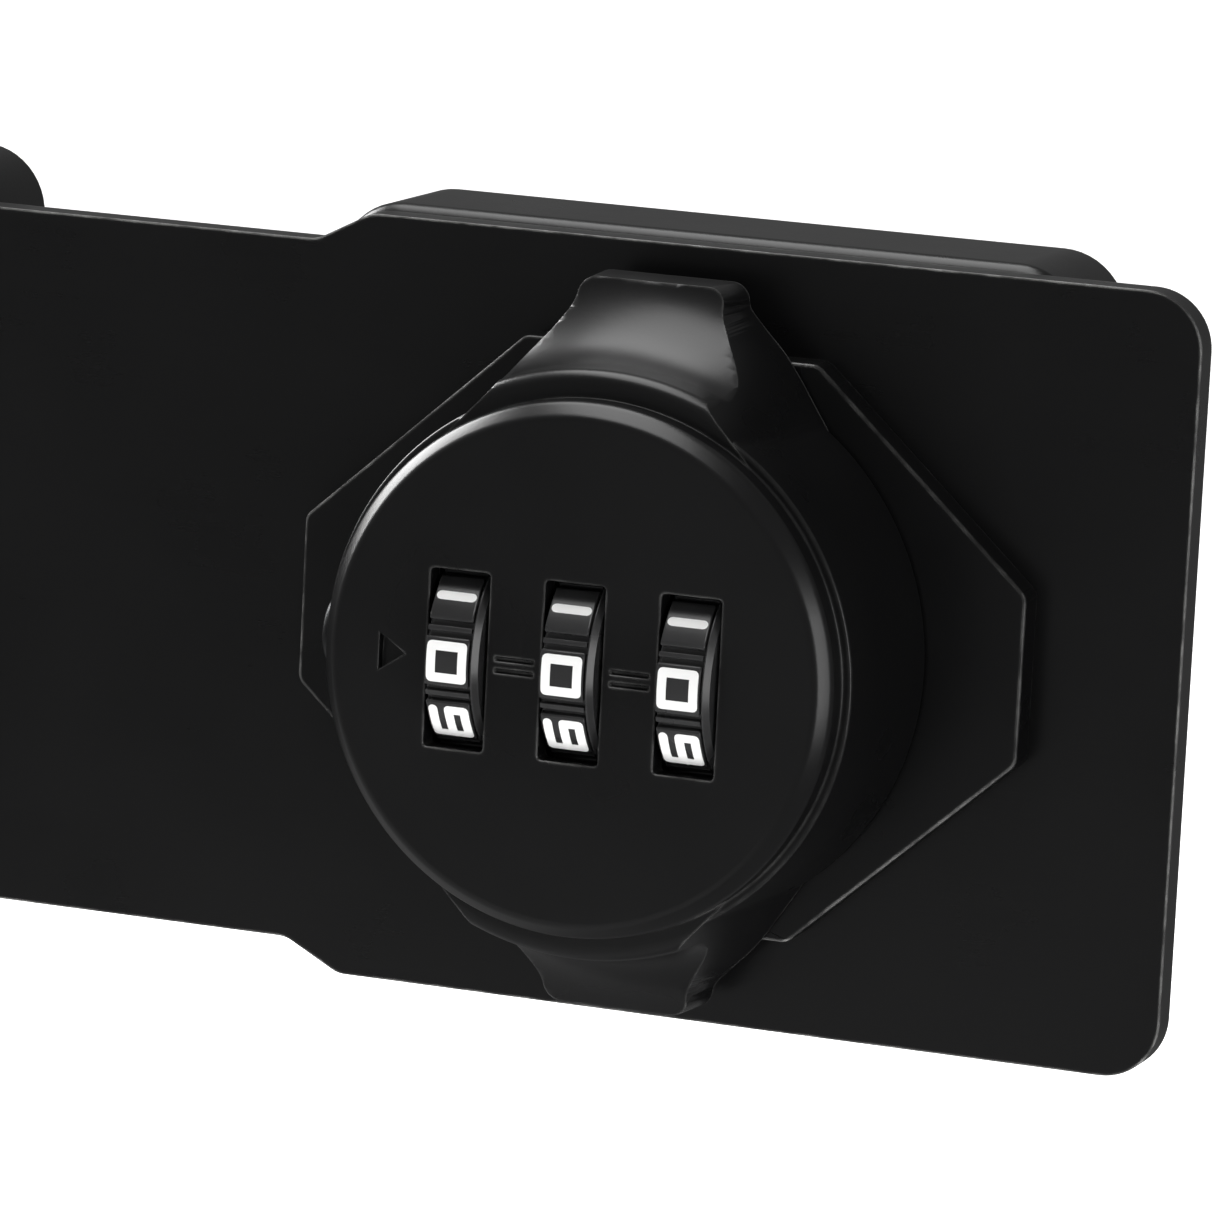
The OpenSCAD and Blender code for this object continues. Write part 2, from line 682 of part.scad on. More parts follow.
module reset_button() color(DARK_STEEL) translate([0, axle_y, 0]) difference() {
    rod_x(button_in_x - button_l, button_in_x, button_r);
    rod_x(button_in_x - 1.2, button_in_x + 1, axle_d / 2);
}

module reset_spring() color(STEEL) translate([axle_right_x, axle_y, 0]) rotate([0, 90, 0])
    coil(axle_d / 2 - 0.15 - wire_r, wire_r, axle_end_x - axle_right_x, 4);

// A bar over the wheels, with one tooth facing each gate disc
module locking_bar() color(STEEL) {
    teeth = [wheel_x[0] + gate_at, wheel_x[1] + gate_at, wheel_x[2] - gate_at - gate_t];
    translate([-bar_w / 2, bar_front_y, bar_low]) cube([bar_w, 2.5, bar_h]);
    for (x = teeth) translate([x + (gate_t - tooth_w) / 2, axle_y - 0.4, gate_r + tooth_gap])
        cube([tooth_w, 0.8, bar_low - gate_r - tooth_gap + eps]);
}

module locking_bar_springs() color(STEEL) for (x = [-1, 1])
    translate([x * spring_x, bar_front_y + spring_y, bar_low + bar_h])
        coil(0.75, wire_r, case_high + 2 - bar_low - bar_h, 4);

// ---- Assembly ----------------------------------------------------------------------

hinge_base();
hinge_pin();
strike_base();
hasp_plate();
lock_flange();
flange_screws();
knob_body();
back_plate();
back_plate_screws();
spindle();
spindle_washer();
retaining_ring();
cam_bar();
cam_washer();
cam_screw();
detent_leaf();
detent_rivet();
wheel_left();
wheel_middle();
wheel_right();
code_sleeve_left();
code_sleeve_middle();
code_sleeve_right();
wheel_spacer();
click_spring_left();
click_spring_middle();
click_spring_right();
wheel_axle();
axle_clip();
reset_button();
reset_spring();
locking_bar();
locking_bar_springs();
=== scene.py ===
"""Hasp lock with a combination knob: its looks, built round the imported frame.

Every piece lies in the frame's own place. The back of the bases is at Y = 0,
the hasp plate, the flange and the knob stand in front of them towards -Y, and
Z is up.
"""

import json
import math

import bmesh
import bpy
from bpy.props import FloatProperty, FloatVectorProperty, IntProperty, PointerProperty
from mathutils import Matrix, Vector


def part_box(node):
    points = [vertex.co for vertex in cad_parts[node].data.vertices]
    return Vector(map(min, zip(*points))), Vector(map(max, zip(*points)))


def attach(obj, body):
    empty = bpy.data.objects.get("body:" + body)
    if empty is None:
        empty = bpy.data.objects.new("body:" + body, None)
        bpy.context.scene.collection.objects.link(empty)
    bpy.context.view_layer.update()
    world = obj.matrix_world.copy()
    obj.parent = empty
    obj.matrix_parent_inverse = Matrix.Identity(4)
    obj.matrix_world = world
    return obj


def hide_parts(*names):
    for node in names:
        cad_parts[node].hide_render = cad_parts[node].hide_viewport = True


bl_info = {
    "name": "Combination hasp lock",
    "version": (1, 0, 0),
    "blender": (4, 5, 0),
    "location": "View3D > Sidebar > Hasp Lock",
    "description": "Builds the plate, bases, flange, knob and number wheels of a hasp lock",
    "category": "Add Mesh",
}

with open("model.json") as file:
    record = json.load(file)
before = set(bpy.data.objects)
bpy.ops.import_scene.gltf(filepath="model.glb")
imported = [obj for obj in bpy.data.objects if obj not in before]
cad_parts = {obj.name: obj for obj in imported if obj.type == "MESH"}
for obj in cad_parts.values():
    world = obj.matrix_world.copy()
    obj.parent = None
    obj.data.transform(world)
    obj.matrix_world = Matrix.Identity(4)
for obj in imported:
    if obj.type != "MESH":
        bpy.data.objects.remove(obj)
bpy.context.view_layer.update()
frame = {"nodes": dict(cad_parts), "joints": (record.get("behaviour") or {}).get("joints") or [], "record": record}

MM = 0.001
SIDES = ("left", "middle", "right")
LEVELS_ROUND = 160

plate_low, plate_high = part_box("hasp_plate")
flange_low, flange_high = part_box("lock_flange")
knob_low, knob_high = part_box("knob_body")
strike_low, strike_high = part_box("strike_base")
hinge_low, hinge_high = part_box("hinge_base")
_, pin_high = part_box("hinge_pin")
joint_at = {j["name"]: Vector(j["pos_m"]) for j in frame["joints"] if "pos_m" in j}
hinge_axis = joint_at["hasp_swing"]
wheel_at = {side: joint_at[f"{side}_wheel_turn"] for side in SIDES}
wheel_low, wheel_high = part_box("wheel_middle")
wheel_r = (wheel_high.z - wheel_low.z) / 2
wheel_w = wheel_high.x - wheel_low.x


# ---- Sizes and colours a user may change ------------------------------------

def colour_setting(name, description, default):
    return FloatVectorProperty(name=name, description=description, subtype="COLOR", size=3,
                               min=0, max=1, default=default)


def length_setting(name, description, low, high, default):
    return FloatProperty(name=name, description=description, subtype="DISTANCE", unit="LENGTH",
                         min=low, max=high, default=default)


def angle_setting(name, description, degrees):
    return FloatProperty(name=name, description=description, subtype="ANGLE", unit="ROTATION",
                         default=math.radians(degrees))


class HaspLockFinish(bpy.types.PropertyGroup):
    """Colours and surface of the lock's finishes"""
    coat: colour_setting(
        "Coat", "Colour of the satin black coat", (0.0036, 0.0036, 0.0038))
    coat_gloss: FloatProperty(
        name="Coat roughness", description="Roughness of the satin coat",
        subtype="FACTOR", min=0.1, max=0.8, default=0.29)
    wheel: colour_setting(
        "Wheels", "Colour of the moulded number wheels", (0.024, 0.024, 0.0245))
    numeral: colour_setting(
        "Numerals", "Colour of the numerals' paint", (0.93, 0.93, 0.92))
    steel: colour_setting(
        "Steel", "Colour of the plated steel", (0.56, 0.57, 0.58))
    brass: colour_setting(
        "Brass", "Colour of the turned brass", (0.72, 0.52, 0.22))


class HaspLockSizes(bpy.types.PropertyGroup):
    """Edge radii and small details that the frame leaves open"""
    plate_edge: length_setting(
        "Plate edge", "Radius on the edges of the hasp plate", 0.0001, 0.0008, 0.00042)
    base_edge: length_setting(
        "Base edge", "Radius on the front edges of both bases", 0.0002, 0.0015, 0.0009)
    flange_edge: length_setting(
        "Flange edge", "Radius on the front edge of the flange", 0.0001, 0.0006, 0.0003)
    rim: length_setting(
        "Rim", "Width of the soft chamfer round the knob's face", 0.0002, 0.0012, 0.0008)
    wing_edge: length_setting(
        "Wing edge", "Radius on the edges of the two wings", 0.0002, 0.001, 0.00045)
    numeral_line: length_setting(
        "Numeral line", "Width of the lines that draw the numerals", 0.0002, 0.0008, 0.00053)
    pads: IntProperty(
        name="Pads", description="Raised pads round each wheel", min=8, max=12, default=10)


class HaspLockStage(bpy.types.PropertyGroup):
    """Where the camera stands, and the strength of the lights"""
    azimuth: angle_setting(
        "Azimuth", "Turn of the camera to the free end of the plate", 20.53)
    elevation: angle_setting(
        "Elevation", "Height of the camera above the horizon", 9.89)
    roll: angle_setting(
        "Roll", "Tilt of the camera about its own line of sight", 2.93)
    distance: length_setting(
        "Distance", "From the camera to the point it looks at", 0.1, 3, 0.4698)
    aim: FloatVectorProperty(
        name="Aim", description="The point that the camera looks at",
        subtype="XYZ", unit="LENGTH", size=3, default=(-0.003875, -0.0113, 0.001102))
    lens: FloatProperty(
        name="Lens", description="Focal length of the camera in millimetres",
        min=50, max=400, default=242)
    key_power: FloatProperty(
        name="Key light", description="Power of the large soft light", min=0, max=20, default=1.1)
    sky: FloatProperty(
        name="Sky", description="Strength of the even white surroundings",
        min=0, max=3, default=1.0)


# ---- Mesh helpers ------------------------------------------------------------

def link(mesh, name):
    """A new object of that mesh, at the origin"""
    obj = bpy.data.objects.new(name, mesh)
    bpy.context.scene.collection.objects.link(obj)
    return obj


def as_object(bm, name):
    """Turns a bmesh into an object as it stands"""
    mesh = bpy.data.meshes.new(name)
    bm.to_mesh(mesh)
    bm.free()
    return link(mesh, name)


def from_bmesh(bm, name):
    """Turns a bmesh into an object whose faces point outwards"""
    bmesh.ops.remove_doubles(bm, verts=bm.verts, dist=1e-7)
    bmesh.ops.recalc_face_normals(bm, faces=bm.faces)
    return as_object(bm, name)


def bridge(bm, ring, after):
    """Faces between two closed rings of points that match one to one"""
    for i, here in enumerate(ring):
        j = (i + 1) % len(ring)
        bm.faces.new((here, ring[j], after[j], after[i]))


def prism(name, outline, from_y, to_y):
    """A solid with an outline in X and Z, as thick as from one Y to the other"""
    bm = bmesh.new()
    front = [bm.verts.new((x, from_y, z)) for x, z in outline]
    back = [bm.verts.new((x, to_y, z)) for x, z in outline]
    bm.faces.new(front)
    bm.faces.new(back[::-1])
    bridge(bm, front, back)
    return from_bmesh(bm, name)


def turned(name, profile, centre=(0, 0), steps=LEVELS_ROUND, axis="Y"):
    """A solid turned about a line along Y, X or Z; the profile holds (radius, place)"""
    bm = bmesh.new()
    rings = []
    for r, at in profile:
        ring = []
        for k in range(steps):
            a = 2 * math.pi * k / steps
            u, v = centre[0] + r * math.cos(a), centre[1] + r * math.sin(a)
            ring.append(bm.verts.new({"Y": (u, at, v), "X": (at, u, v), "Z": (u, v, at)}[axis]))
        rings.append(ring)
    for ring, after in zip(rings, rings[1:]):
        bridge(bm, ring, after)
    bm.faces.new(rings[0][::-1])
    bm.faces.new(rings[-1])
    return from_bmesh(bm, name)


def arc(cx, cz, r, start, end, steps=12):
    """Points of an arc, with its angles in degrees"""
    turn = [math.radians(start + (end - start) * k / steps) for k in range(steps + 1)]
    return [(cx + r * math.cos(a), cz + r * math.sin(a)) for a in turn]


def rounded_box(x0, x1, z0, z1, r, steps=12):
    """Outline of a rectangle with round corners"""
    return (arc(x1 - r, z1 - r, r, 0, 90, steps) + arc(x0 + r, z1 - r, r, 90, 180, steps)
            + arc(x0 + r, z0 + r, r, 180, 270, steps) + arc(x1 - r, z0 + r, r, 270, 360, steps))


def softened(points, radius, steps=6):
    """The same closed outline with its corners rounded to a radius"""
    out = []
    count = len(points)
    for i, p in enumerate(points):
        here = Vector(p)
        to_last = (Vector(points[i - 1]) - here)
        to_next = (Vector(points[(i + 1) % count]) - here)
        half = to_last.angle(to_next) / 2
        reach = min(radius / math.tan(half), 0.45 * to_last.length, 0.45 * to_next.length)
        first, last = here + to_last.normalized() * reach, here + to_next.normalized() * reach
        for k in range(steps + 1):
            t = k / steps
            q = first * (1 - t) ** 2 + here * 2 * t * (1 - t) + last * t * t
            out.append((q.x, q.y))
    return out


def apply_modifiers(obj):
    """Replaces the object's mesh with what its modifiers make of it"""
    graph = bpy.context.evaluated_depsgraph_get()
    mesh = bpy.data.meshes.new_from_object(obj.evaluated_get(graph))
    obj.modifiers.clear()
    old = obj.data
    obj.data = mesh
    bpy.data.meshes.remove(old)
    return obj


def joined(name, *objects):
    """One object with the meshes of several"""
    bm = bmesh.new()
    for obj in objects:
        bm.from_mesh(obj.data)
        bpy.data.objects.remove(obj)
    return as_object(bm, name)


def cut(obj, *tools, mode="DIFFERENCE", crossing=False):
    """Takes the tools out of the object, or joins or crosses it with them, and removes them"""
    tool = joined("tools", *tools)
    step = obj.modifiers.new("cut", "BOOLEAN")
    step.operation, step.solver, step.object = mode, "EXACT", tool
    step.use_self = crossing or len(tools) > 1
    apply_modifiers(obj)
    bpy.data.objects.remove(tool)
    return obj


def tidy(obj, flat=0.5):
    """Merges doubles and dissolves edges inside flat faces"""
    bm = bmesh.new()
    bm.from_mesh(obj.data)
    bmesh.ops.remove_doubles(bm, verts=bm.verts, dist=2e-6)
    bmesh.ops.dissolve_limit(bm, angle_limit=math.radians(flat), verts=bm.verts, edges=bm.edges)
    bm.to_mesh(obj.data)
    bm.free()
    return obj


def round_edges(obj, width, angle=32, segments=3):
    """Rounds every edge sharper than the angle, and leaves the rest smooth"""
    tidy(obj)
    step = obj.modifiers.new("edges", "BEVEL")
    step.width, step.segments, step.limit_method = width, segments, "ANGLE"
    step.angle_limit, step.use_clamp_overlap = math.radians(angle), True
    step.miter_outer, step.harden_normals = "MITER_ARC", True
    return smooth(apply_modifiers(obj))


def smooth(obj, angle=38):
    """Smooth shading that keeps large faces flat, with a crisp line at sharper turns"""
    mesh = obj.data
    mesh.polygons.foreach_set("use_smooth", [True] * len(mesh.polygons))
    mesh.set_sharp_from_angle(angle=math.radians(angle))
    mesh.update()
    step = obj.modifiers.new("normals", "WEIGHTED_NORMAL")
    step.weight, step.keep_sharp = 100, True
    return apply_modifiers(obj)


def finish_piece(obj, body, material, slot, *nodes):
    """Gives a piece its material and its body, and hides the CAD nodes it stands for; the slot is not used"""
    obj.data.materials.clear()
    obj.data.materials.append(material)
    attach(obj, body)
    if nodes:
        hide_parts(*nodes)
    return obj


# ---- Shader node groups --------------------------------------------------------

def new_group(name, inputs, outputs):
    """An empty shader group with its sockets; sockets are (name, type, default)"""
    tree = bpy.data.node_groups.new(name, "ShaderNodeTree")
    for label, kind, value in inputs:
        tree.interface.new_socket(label, in_out="INPUT", socket_type=kind).default_value = value
    for label, kind in outputs:
        tree.interface.new_socket(label, in_out="OUTPUT", socket_type=kind)
    return tree, tree.nodes.new("NodeGroupInput"), tree.nodes.new("NodeGroupOutput")


def node(tree, kind, links=None, **settings):
    """Adds a node; links maps its inputs to sockets or plain values"""
    made = tree.nodes.new(kind)
    for key, value in settings.items():
        setattr(made, key, value)
    for key, value in (links or {}).items():
        if isinstance(value, bpy.types.NodeSocket):
            tree.links.new(value, made.inputs[key])
        else:
            made.inputs[key].default_value = value
    return made


def maths(tree, operation, a, b=0.0, clamp=False):
    """One Math node's result"""
    made = node(tree, "ShaderNodeMath", {0: a, 1: b}, operation=operation, use_clamp=clamp)
    return made.outputs[0]


def spread(tree, value, low, high, to_low=0.0, to_high=1.0):
    """Maps a value's range to another, and clamps it"""
    return node(tree, "ShaderNodeMapRange",
                {0: value, 1: low, 2: high, 3: to_low, 4: to_high}).outputs[0]


def scaled_place(tree, scale):
    """Object coordinates, each axis multiplied by its own number"""
    place = tree.nodes.new("ShaderNodeTexCoord").outputs["Object"]
    return node(tree, "ShaderNodeVectorMath", {0: place, 1: scale}, operation="MULTIPLY").outputs[0]


def grain_group():
    """Fine orange peel of a sprayed coat: its height, and a slow mottle"""
    tree, given, out = new_group(
        "Coat grain", [("Scale", "NodeSocketFloat", 3200.0)],
        [("Height", "NodeSocketFloat"), ("Mottle", "NodeSocketFloat")])
    place = tree.nodes.new("ShaderNodeTexCoord").outputs["Object"]
    fine = node(tree, "ShaderNodeTexNoise", {
        "Vector": place, "Scale": given.outputs["Scale"], "Detail": 3.0, "Roughness": 0.55})
    slow = node(tree, "ShaderNodeTexNoise", {"Vector": place, "Scale": 95.0, "Detail": 4.0})
    tree.links.new(fine.outputs[0], out.inputs["Height"])
    tree.links.new(spread(tree, slow.outputs[0], 0.35, 0.65), out.inputs["Mottle"])
    return tree


def hairline_group():
    """Hairlines that run along the plate, as brushing leaves them"""
    tree, given, out = new_group(
        "Hairlines", [("Fineness", "NodeSocketFloat", 5200.0)],
        [("Height", "NodeSocketFloat"), ("Streaks", "NodeSocketFloat")])
    fine = node(tree, "ShaderNodeTexNoise", {
        "Vector": scaled_place(tree, (0.012, 1.0, 1.0)),
        "Scale": given.outputs["Fineness"], "Detail": 2.0})
    broad = node(tree, "ShaderNodeTexNoise", {
        "Vector": scaled_place(tree, (0.02, 1.0, 1.0)),
        "Scale": 1500.0, "Detail": 4.0, "Roughness": 0.7})
    tree.links.new(fine.outputs[0], out.inputs["Height"])
    tree.links.new(spread(tree, broad.outputs[0], 0.3, 0.8), out.inputs["Streaks"])
    return tree


def edge_highlight_group():
    """A mask along sharp edges, broken up by noise, that the materials use to paint a highlight on the edges"""
    tree, given, out = new_group(
        "Painted edge highlight", [("Reach", "NodeSocketFloat", 0.00025), ("Amount", "NodeSocketFloat", 0.5)],
        [("Mask", "NodeSocketFloat")])
    round_normal = node(tree, "ShaderNodeBevel", {"Radius": given.outputs["Reach"]}, samples=4)
    surface = tree.nodes.new("ShaderNodeNewGeometry")
    turn = node(tree, "ShaderNodeVectorMath",
                {0: round_normal.outputs[0], 1: surface.outputs["Normal"]}, operation="DOT_PRODUCT")
    sharp = spread(tree, turn.outputs["Value"], 0.995, 0.86)
    place = tree.nodes.new("ShaderNodeTexCoord").outputs["Object"]
    broken = node(tree, "ShaderNodeTexNoise", {"Vector": place, "Scale": 700.0, "Detail": 4.0})
    patch = maths(tree, "MULTIPLY", sharp, spread(tree, broken.outputs[0], 0.38, 0.66, 0.25, 1.0))
    mask = maths(tree, "MULTIPLY", patch, given.outputs["Amount"], clamp=True)
    tree.links.new(mask, out.inputs["Mask"])
    return tree


def turning_group():
    """Fine rings or lines that a tool leaves on bare metal, and blotches of handling"""
    tree, given, out = new_group(
        "Tool marks", [("Fineness", "NodeSocketFloat", 6000.0)],
        [("Height", "NodeSocketFloat"), ("Blotch", "NodeSocketFloat")])
    fine = node(tree, "ShaderNodeTexNoise", {
        "Vector": scaled_place(tree, (0.05, 1.0, 0.35)),
        "Scale": given.outputs["Fineness"], "Detail": 2.0})
    place = tree.nodes.new("ShaderNodeTexCoord").outputs["Object"]
    slow = node(tree, "ShaderNodeTexNoise", {"Vector": place, "Scale": 260.0, "Detail": 5.0})
    tree.links.new(fine.outputs[0], out.inputs["Height"])
    tree.links.new(spread(tree, slow.outputs[0], 0.35, 0.68), out.inputs["Blotch"])
    return tree


# ---- Materials -------------------------------------------------------------------

def new_material(name):
    """An empty material with a Principled shader; returns it, its tree and the shader"""
    material = bpy.data.materials.new(name)
    material.use_nodes = True
    tree = material.node_tree
    tree.nodes.clear()
    shader = tree.nodes.new("ShaderNodeBsdfPrincipled")
    output = tree.nodes.new("ShaderNodeOutputMaterial")
    tree.links.new(shader.outputs[0], output.inputs["Surface"])
    return material, tree, shader


def use_group(tree, group, **values):
    """Places a group in a material and sets its inputs"""
    made = tree.nodes.new("ShaderNodeGroup")
    made.node_tree = group
    for label, value in values.items():
        made.inputs[label].default_value = value
    return made.outputs


def mixed(tree, factor, a, b):
    """A colour between two others"""
    return node(tree, "ShaderNodeMix", {0: factor, 6: a, 7: b}, data_type="RGBA").outputs[2]


def bumped(tree, height, strength, distance):
    """The normal that a height gives"""
    return node(tree, "ShaderNodeBump",
                {"Height": height, "Strength": strength, "Distance": distance}).outputs[0]


def shade(colour, by):
    """A colour made lighter or darker"""
    return tuple(min(1.0, c * by) for c in colour) + (1.0,)


def coat_material(name, groups, finish, lines, grain_scale, grain, specular=0.5, painted_edge_light=0.4,
                  edge_highlight_colour=(0.45, 0.45, 0.44)):
    """Satin black coat: sprayed grain, optional hairlines, and a painted highlight that lightens the edges"""
    material, tree, shader = new_material(name)
    peel = use_group(tree, groups["grain"], Scale=grain_scale)
    edge = use_group(tree, groups["edge"], Reach=0.00022, Amount=painted_edge_light)
    base = mixed(tree, peel["Mottle"], shade(finish.coat, 0.88), shade(finish.coat, 1.15))
    rough = spread(tree, peel["Mottle"], 0.0, 1.0,
                   finish.coat_gloss - 0.03, finish.coat_gloss + 0.03)
    height = maths(tree, "MULTIPLY", peel["Height"], grain)
    if lines:
        hair = use_group(tree, groups["hairline"], Fineness=5200.0)
        base = mixed(tree, hair["Streaks"], base, shade(finish.coat, 1.12))
        rough = maths(tree, "ADD", rough, maths(tree, "MULTIPLY", hair["Streaks"], 0.015))
        height = maths(tree, "ADD", height, maths(tree, "MULTIPLY", hair["Height"], lines))
    # Painted highlight: the edges are lightened towards a pale grey, broken up by noise
    base = mixed(tree, edge["Mask"], base, edge_highlight_colour + (1.0,))
    tree.links.new(base, shader.inputs["Base Color"])
    tree.links.new(maths(tree, "SUBTRACT", rough, maths(tree, "MULTIPLY", edge["Mask"], 0.1)),
                   shader.inputs["Roughness"])
    tree.links.new(bumped(tree, height, 0.35, 0.00002), shader.inputs["Normal"])
    shader.inputs["Specular IOR Level"].default_value = specular
    return material


def metal_material(name, groups, colour, rough, fineness, dark=0.7, marks=0.4):
    """Bare or plated metal with tool marks, handling blotches and a painted highlight that lightens the edges"""
    material, tree, shader = new_material(name)
    tool = use_group(tree, groups["turning"], Fineness=fineness)
    edge = use_group(tree, groups["edge"], Reach=0.00015, Amount=0.6)
    base = mixed(tree, tool["Blotch"], shade(colour, 1.0), shade(colour, dark))
    # Painted highlight: the edges are a lighter copy of the metal's colour
    base = mixed(tree, edge["Mask"], base, shade(colour, 1.35))
    tree.links.new(base, shader.inputs["Base Color"])
    tree.links.new(spread(tree, tool["Blotch"], 0.0, 1.0, rough, rough + 0.12),
                   shader.inputs["Roughness"])
    tree.links.new(bumped(tree, tool["Height"], marks, 0.00002), shader.inputs["Normal"])
    shader.inputs["Metallic"].default_value = 1.0
    return material


def wheel_material(name, groups, finish):
    """Moulded black plastic: a close sheen with a fine spark texture, and a painted highlight along the edges"""
    material, tree, shader = new_material(name)
    peel = use_group(tree, groups["grain"], Scale=5200.0)
    edge = use_group(tree, groups["edge"], Reach=0.00018, Amount=0.35)
    base = mixed(tree, peel["Mottle"], shade(finish.wheel, 0.85), shade(finish.wheel, 1.2))
    # Painted highlight: the edges are lightened to four times the plastic's colour
    base = mixed(tree, edge["Mask"], base, shade(finish.wheel, 4.0))
    tree.links.new(base, shader.inputs["Base Color"])
    tree.links.new(spread(tree, peel["Mottle"], 0.0, 1.0, 0.24, 0.31), shader.inputs["Roughness"])
    tree.links.new(bumped(tree, peel["Height"], 0.25, 0.00001), shader.inputs["Normal"])
    return material


def numeral_material(name, groups, finish):
    """White pad-printed paint, slightly uneven in thickness and sheen"""
    material, tree, shader = new_material(name)
    peel = use_group(tree, groups["grain"], Scale=4200.0)
    base = mixed(tree, peel["Mottle"], shade(finish.numeral, 1.0), shade(finish.numeral, 0.93))
    tree.links.new(base, shader.inputs["Base Color"])
    tree.links.new(spread(tree, peel["Mottle"], 0.0, 1.0, 0.42, 0.55), shader.inputs["Roughness"])
    tree.links.new(bumped(tree, peel["Height"], 0.2, 0.00001), shader.inputs["Normal"])
    return material


def make_materials():
    """Every material of the lock, by name; made once"""
    finish = bpy.context.scene.hasp_lock_finish
    groups = {"grain": grain_group(), "hairline": hairline_group(),
              "edge": edge_highlight_group(), "turning": turning_group()}
    dark = tuple(0.16 * c for c in finish.steel)
    return {
        "plate": coat_material("plate_satin", groups, finish, 0.5, 2600.0, 0.35, 0.42, 1.0),
        "cast": coat_material("cast_satin", groups, finish, 0.0, 3200.0, 0.8, 0.42, 0.35),
        "flange": coat_material("flange_satin", groups, finish, 0.0, 3600.0, 0.6, 0.36, 1.0),
        "knob": coat_material("knob_satin", groups, finish, 0.0, 4200.0, 0.5, 0.46, 0.22),
        "wheel": wheel_material("wheel_plastic", groups, finish),
        "numeral": numeral_material("numeral_paint", groups, finish),
        "steel": metal_material("plated_steel", groups, finish.steel, 0.26, 6000.0),
        "dark_steel": metal_material("blackened_steel", groups, dark, 0.34, 7000.0, 0.6),
        "spring": metal_material("spring_steel", groups, shade(finish.steel, 0.72)[:3],
                                 0.22, 9000.0),
        "brass": metal_material("turned_brass", groups, finish.brass, 0.22, 8000.0, 0.8),
    }


materials = {}


# ---- Geometry node trees -----------------------------------------------------------

def new_geometry_tree(name, inputs, takes_mesh=True):
    """An empty geometry tree; returns it with its input and output nodes"""
    tree = bpy.data.node_groups.new(name, "GeometryNodeTree")
    if takes_mesh:
        tree.interface.new_socket("Geometry", in_out="INPUT", socket_type="NodeSocketGeometry")
    for label, kind in inputs:
        tree.interface.new_socket(label, in_out="INPUT", socket_type=kind)
    tree.interface.new_socket("Material", in_out="INPUT", socket_type="NodeSocketMaterial")
    tree.interface.new_socket("Geometry", in_out="OUTPUT", socket_type="NodeSocketGeometry")
    return tree, tree.nodes.new("NodeGroupInput"), tree.nodes.new("NodeGroupOutput")


def close_tree(tree, given, out, geometry):
    """Ends a tree: real meshes, then the material"""
    real = node(tree, "GeometryNodeRealizeInstances", {"Geometry": geometry})
    painted = node(tree, "GeometryNodeSetMaterial",
                   {"Geometry": real.outputs[0], "Material": given.outputs["Material"]})
    tree.links.new(painted.outputs[0], out.inputs["Geometry"])
    return tree


def row_tree():
    """Repeats the mesh along a straight line"""
    tree, given, out = new_geometry_tree("Row of pieces", [
        ("Count", "NodeSocketInt"), ("First", "NodeSocketVector"), ("Step", "NodeSocketVector")])
    line = node(tree, "GeometryNodeMeshLine", {
        "Count": given.outputs["Count"], "Start Location": given.outputs["First"],
        "Offset": given.outputs["Step"]})
    copies = node(tree, "GeometryNodeInstanceOnPoints",
                  {"Points": line.outputs[0], "Instance": given.outputs["Geometry"]})
    return close_tree(tree, given, out, copies.outputs[0])


def ring_tree():
    """Repeats the mesh round a line along X through a centre"""
    tree, given, out = new_geometry_tree("Ring of pieces", [
        ("Count", "NodeSocketInt"), ("Centre", "NodeSocketVector")])
    points = node(tree, "GeometryNodeMeshLine",
                  {"Count": given.outputs["Count"], "Start Location": given.outputs["Centre"],
                   "Offset": (0.0, 0.0, 0.0)})
    index = tree.nodes.new("GeometryNodeInputIndex").outputs[0]
    share = maths(tree, "DIVIDE", index, given.outputs["Count"])
    angle = maths(tree, "MULTIPLY", share, 2 * math.pi)
    turn = node(tree, "ShaderNodeCombineXYZ", {"X": angle})
    copies = node(tree, "GeometryNodeInstanceOnPoints", {
        "Points": points.outputs[0], "Instance": given.outputs["Geometry"],
        "Rotation": turn.outputs[0]})
    return close_tree(tree, given, out, copies.outputs[0])


def corners_tree():
    """Puts the mesh at the four corners of an upright rectangle round the Y axis"""
    tree, given, out = new_geometry_tree("Four corners", [
        ("Width", "NodeSocketFloat"), ("Height", "NodeSocketFloat")])
    grid = node(tree, "GeometryNodeMeshGrid", {
        "Size X": given.outputs["Width"], "Size Y": given.outputs["Height"],
        "Vertices X": 2, "Vertices Y": 2})
    upright = node(tree, "GeometryNodeTransform",
                   {"Geometry": grid.outputs[0], "Rotation": (math.pi / 2, 0.0, 0.0)})
    copies = node(tree, "GeometryNodeInstanceOnPoints",
                  {"Points": upright.outputs[0], "Instance": given.outputs["Geometry"]})
    return close_tree(tree, given, out, copies.outputs[0])


def spring_tree():
    """A coil spring along Z from a start point, turned to lie as it is asked"""
    tree, given, out = new_geometry_tree("Coil spring", [
        ("Radius", "NodeSocketFloat"), ("Wire", "NodeSocketFloat"), ("Length", "NodeSocketFloat"),
        ("Turns", "NodeSocketFloat"), ("Start", "NodeSocketVector"), ("Lie", "NodeSocketVector")],
        takes_mesh=False)
    spiral = node(tree, "GeometryNodeCurveSpiral", {
        "Resolution": 28, "Rotations": given.outputs["Turns"],
        "Start Radius": given.outputs["Radius"], "End Radius": given.outputs["Radius"],
        "Height": given.outputs["Length"]})
    section = node(tree, "GeometryNodeCurvePrimitiveCircle",
                   {"Resolution": 10, "Radius": given.outputs["Wire"]})
    wire = node(tree, "GeometryNodeCurveToMesh", {
        "Curve": spiral.outputs[0], "Profile Curve": section.outputs[0], "Fill Caps": True})
    laid = node(tree, "GeometryNodeTransform", {
        "Geometry": wire.outputs[0], "Translation": given.outputs["Start"],
        "Rotation": given.outputs["Lie"]})
    return close_tree(tree, given, out, laid.outputs[0])


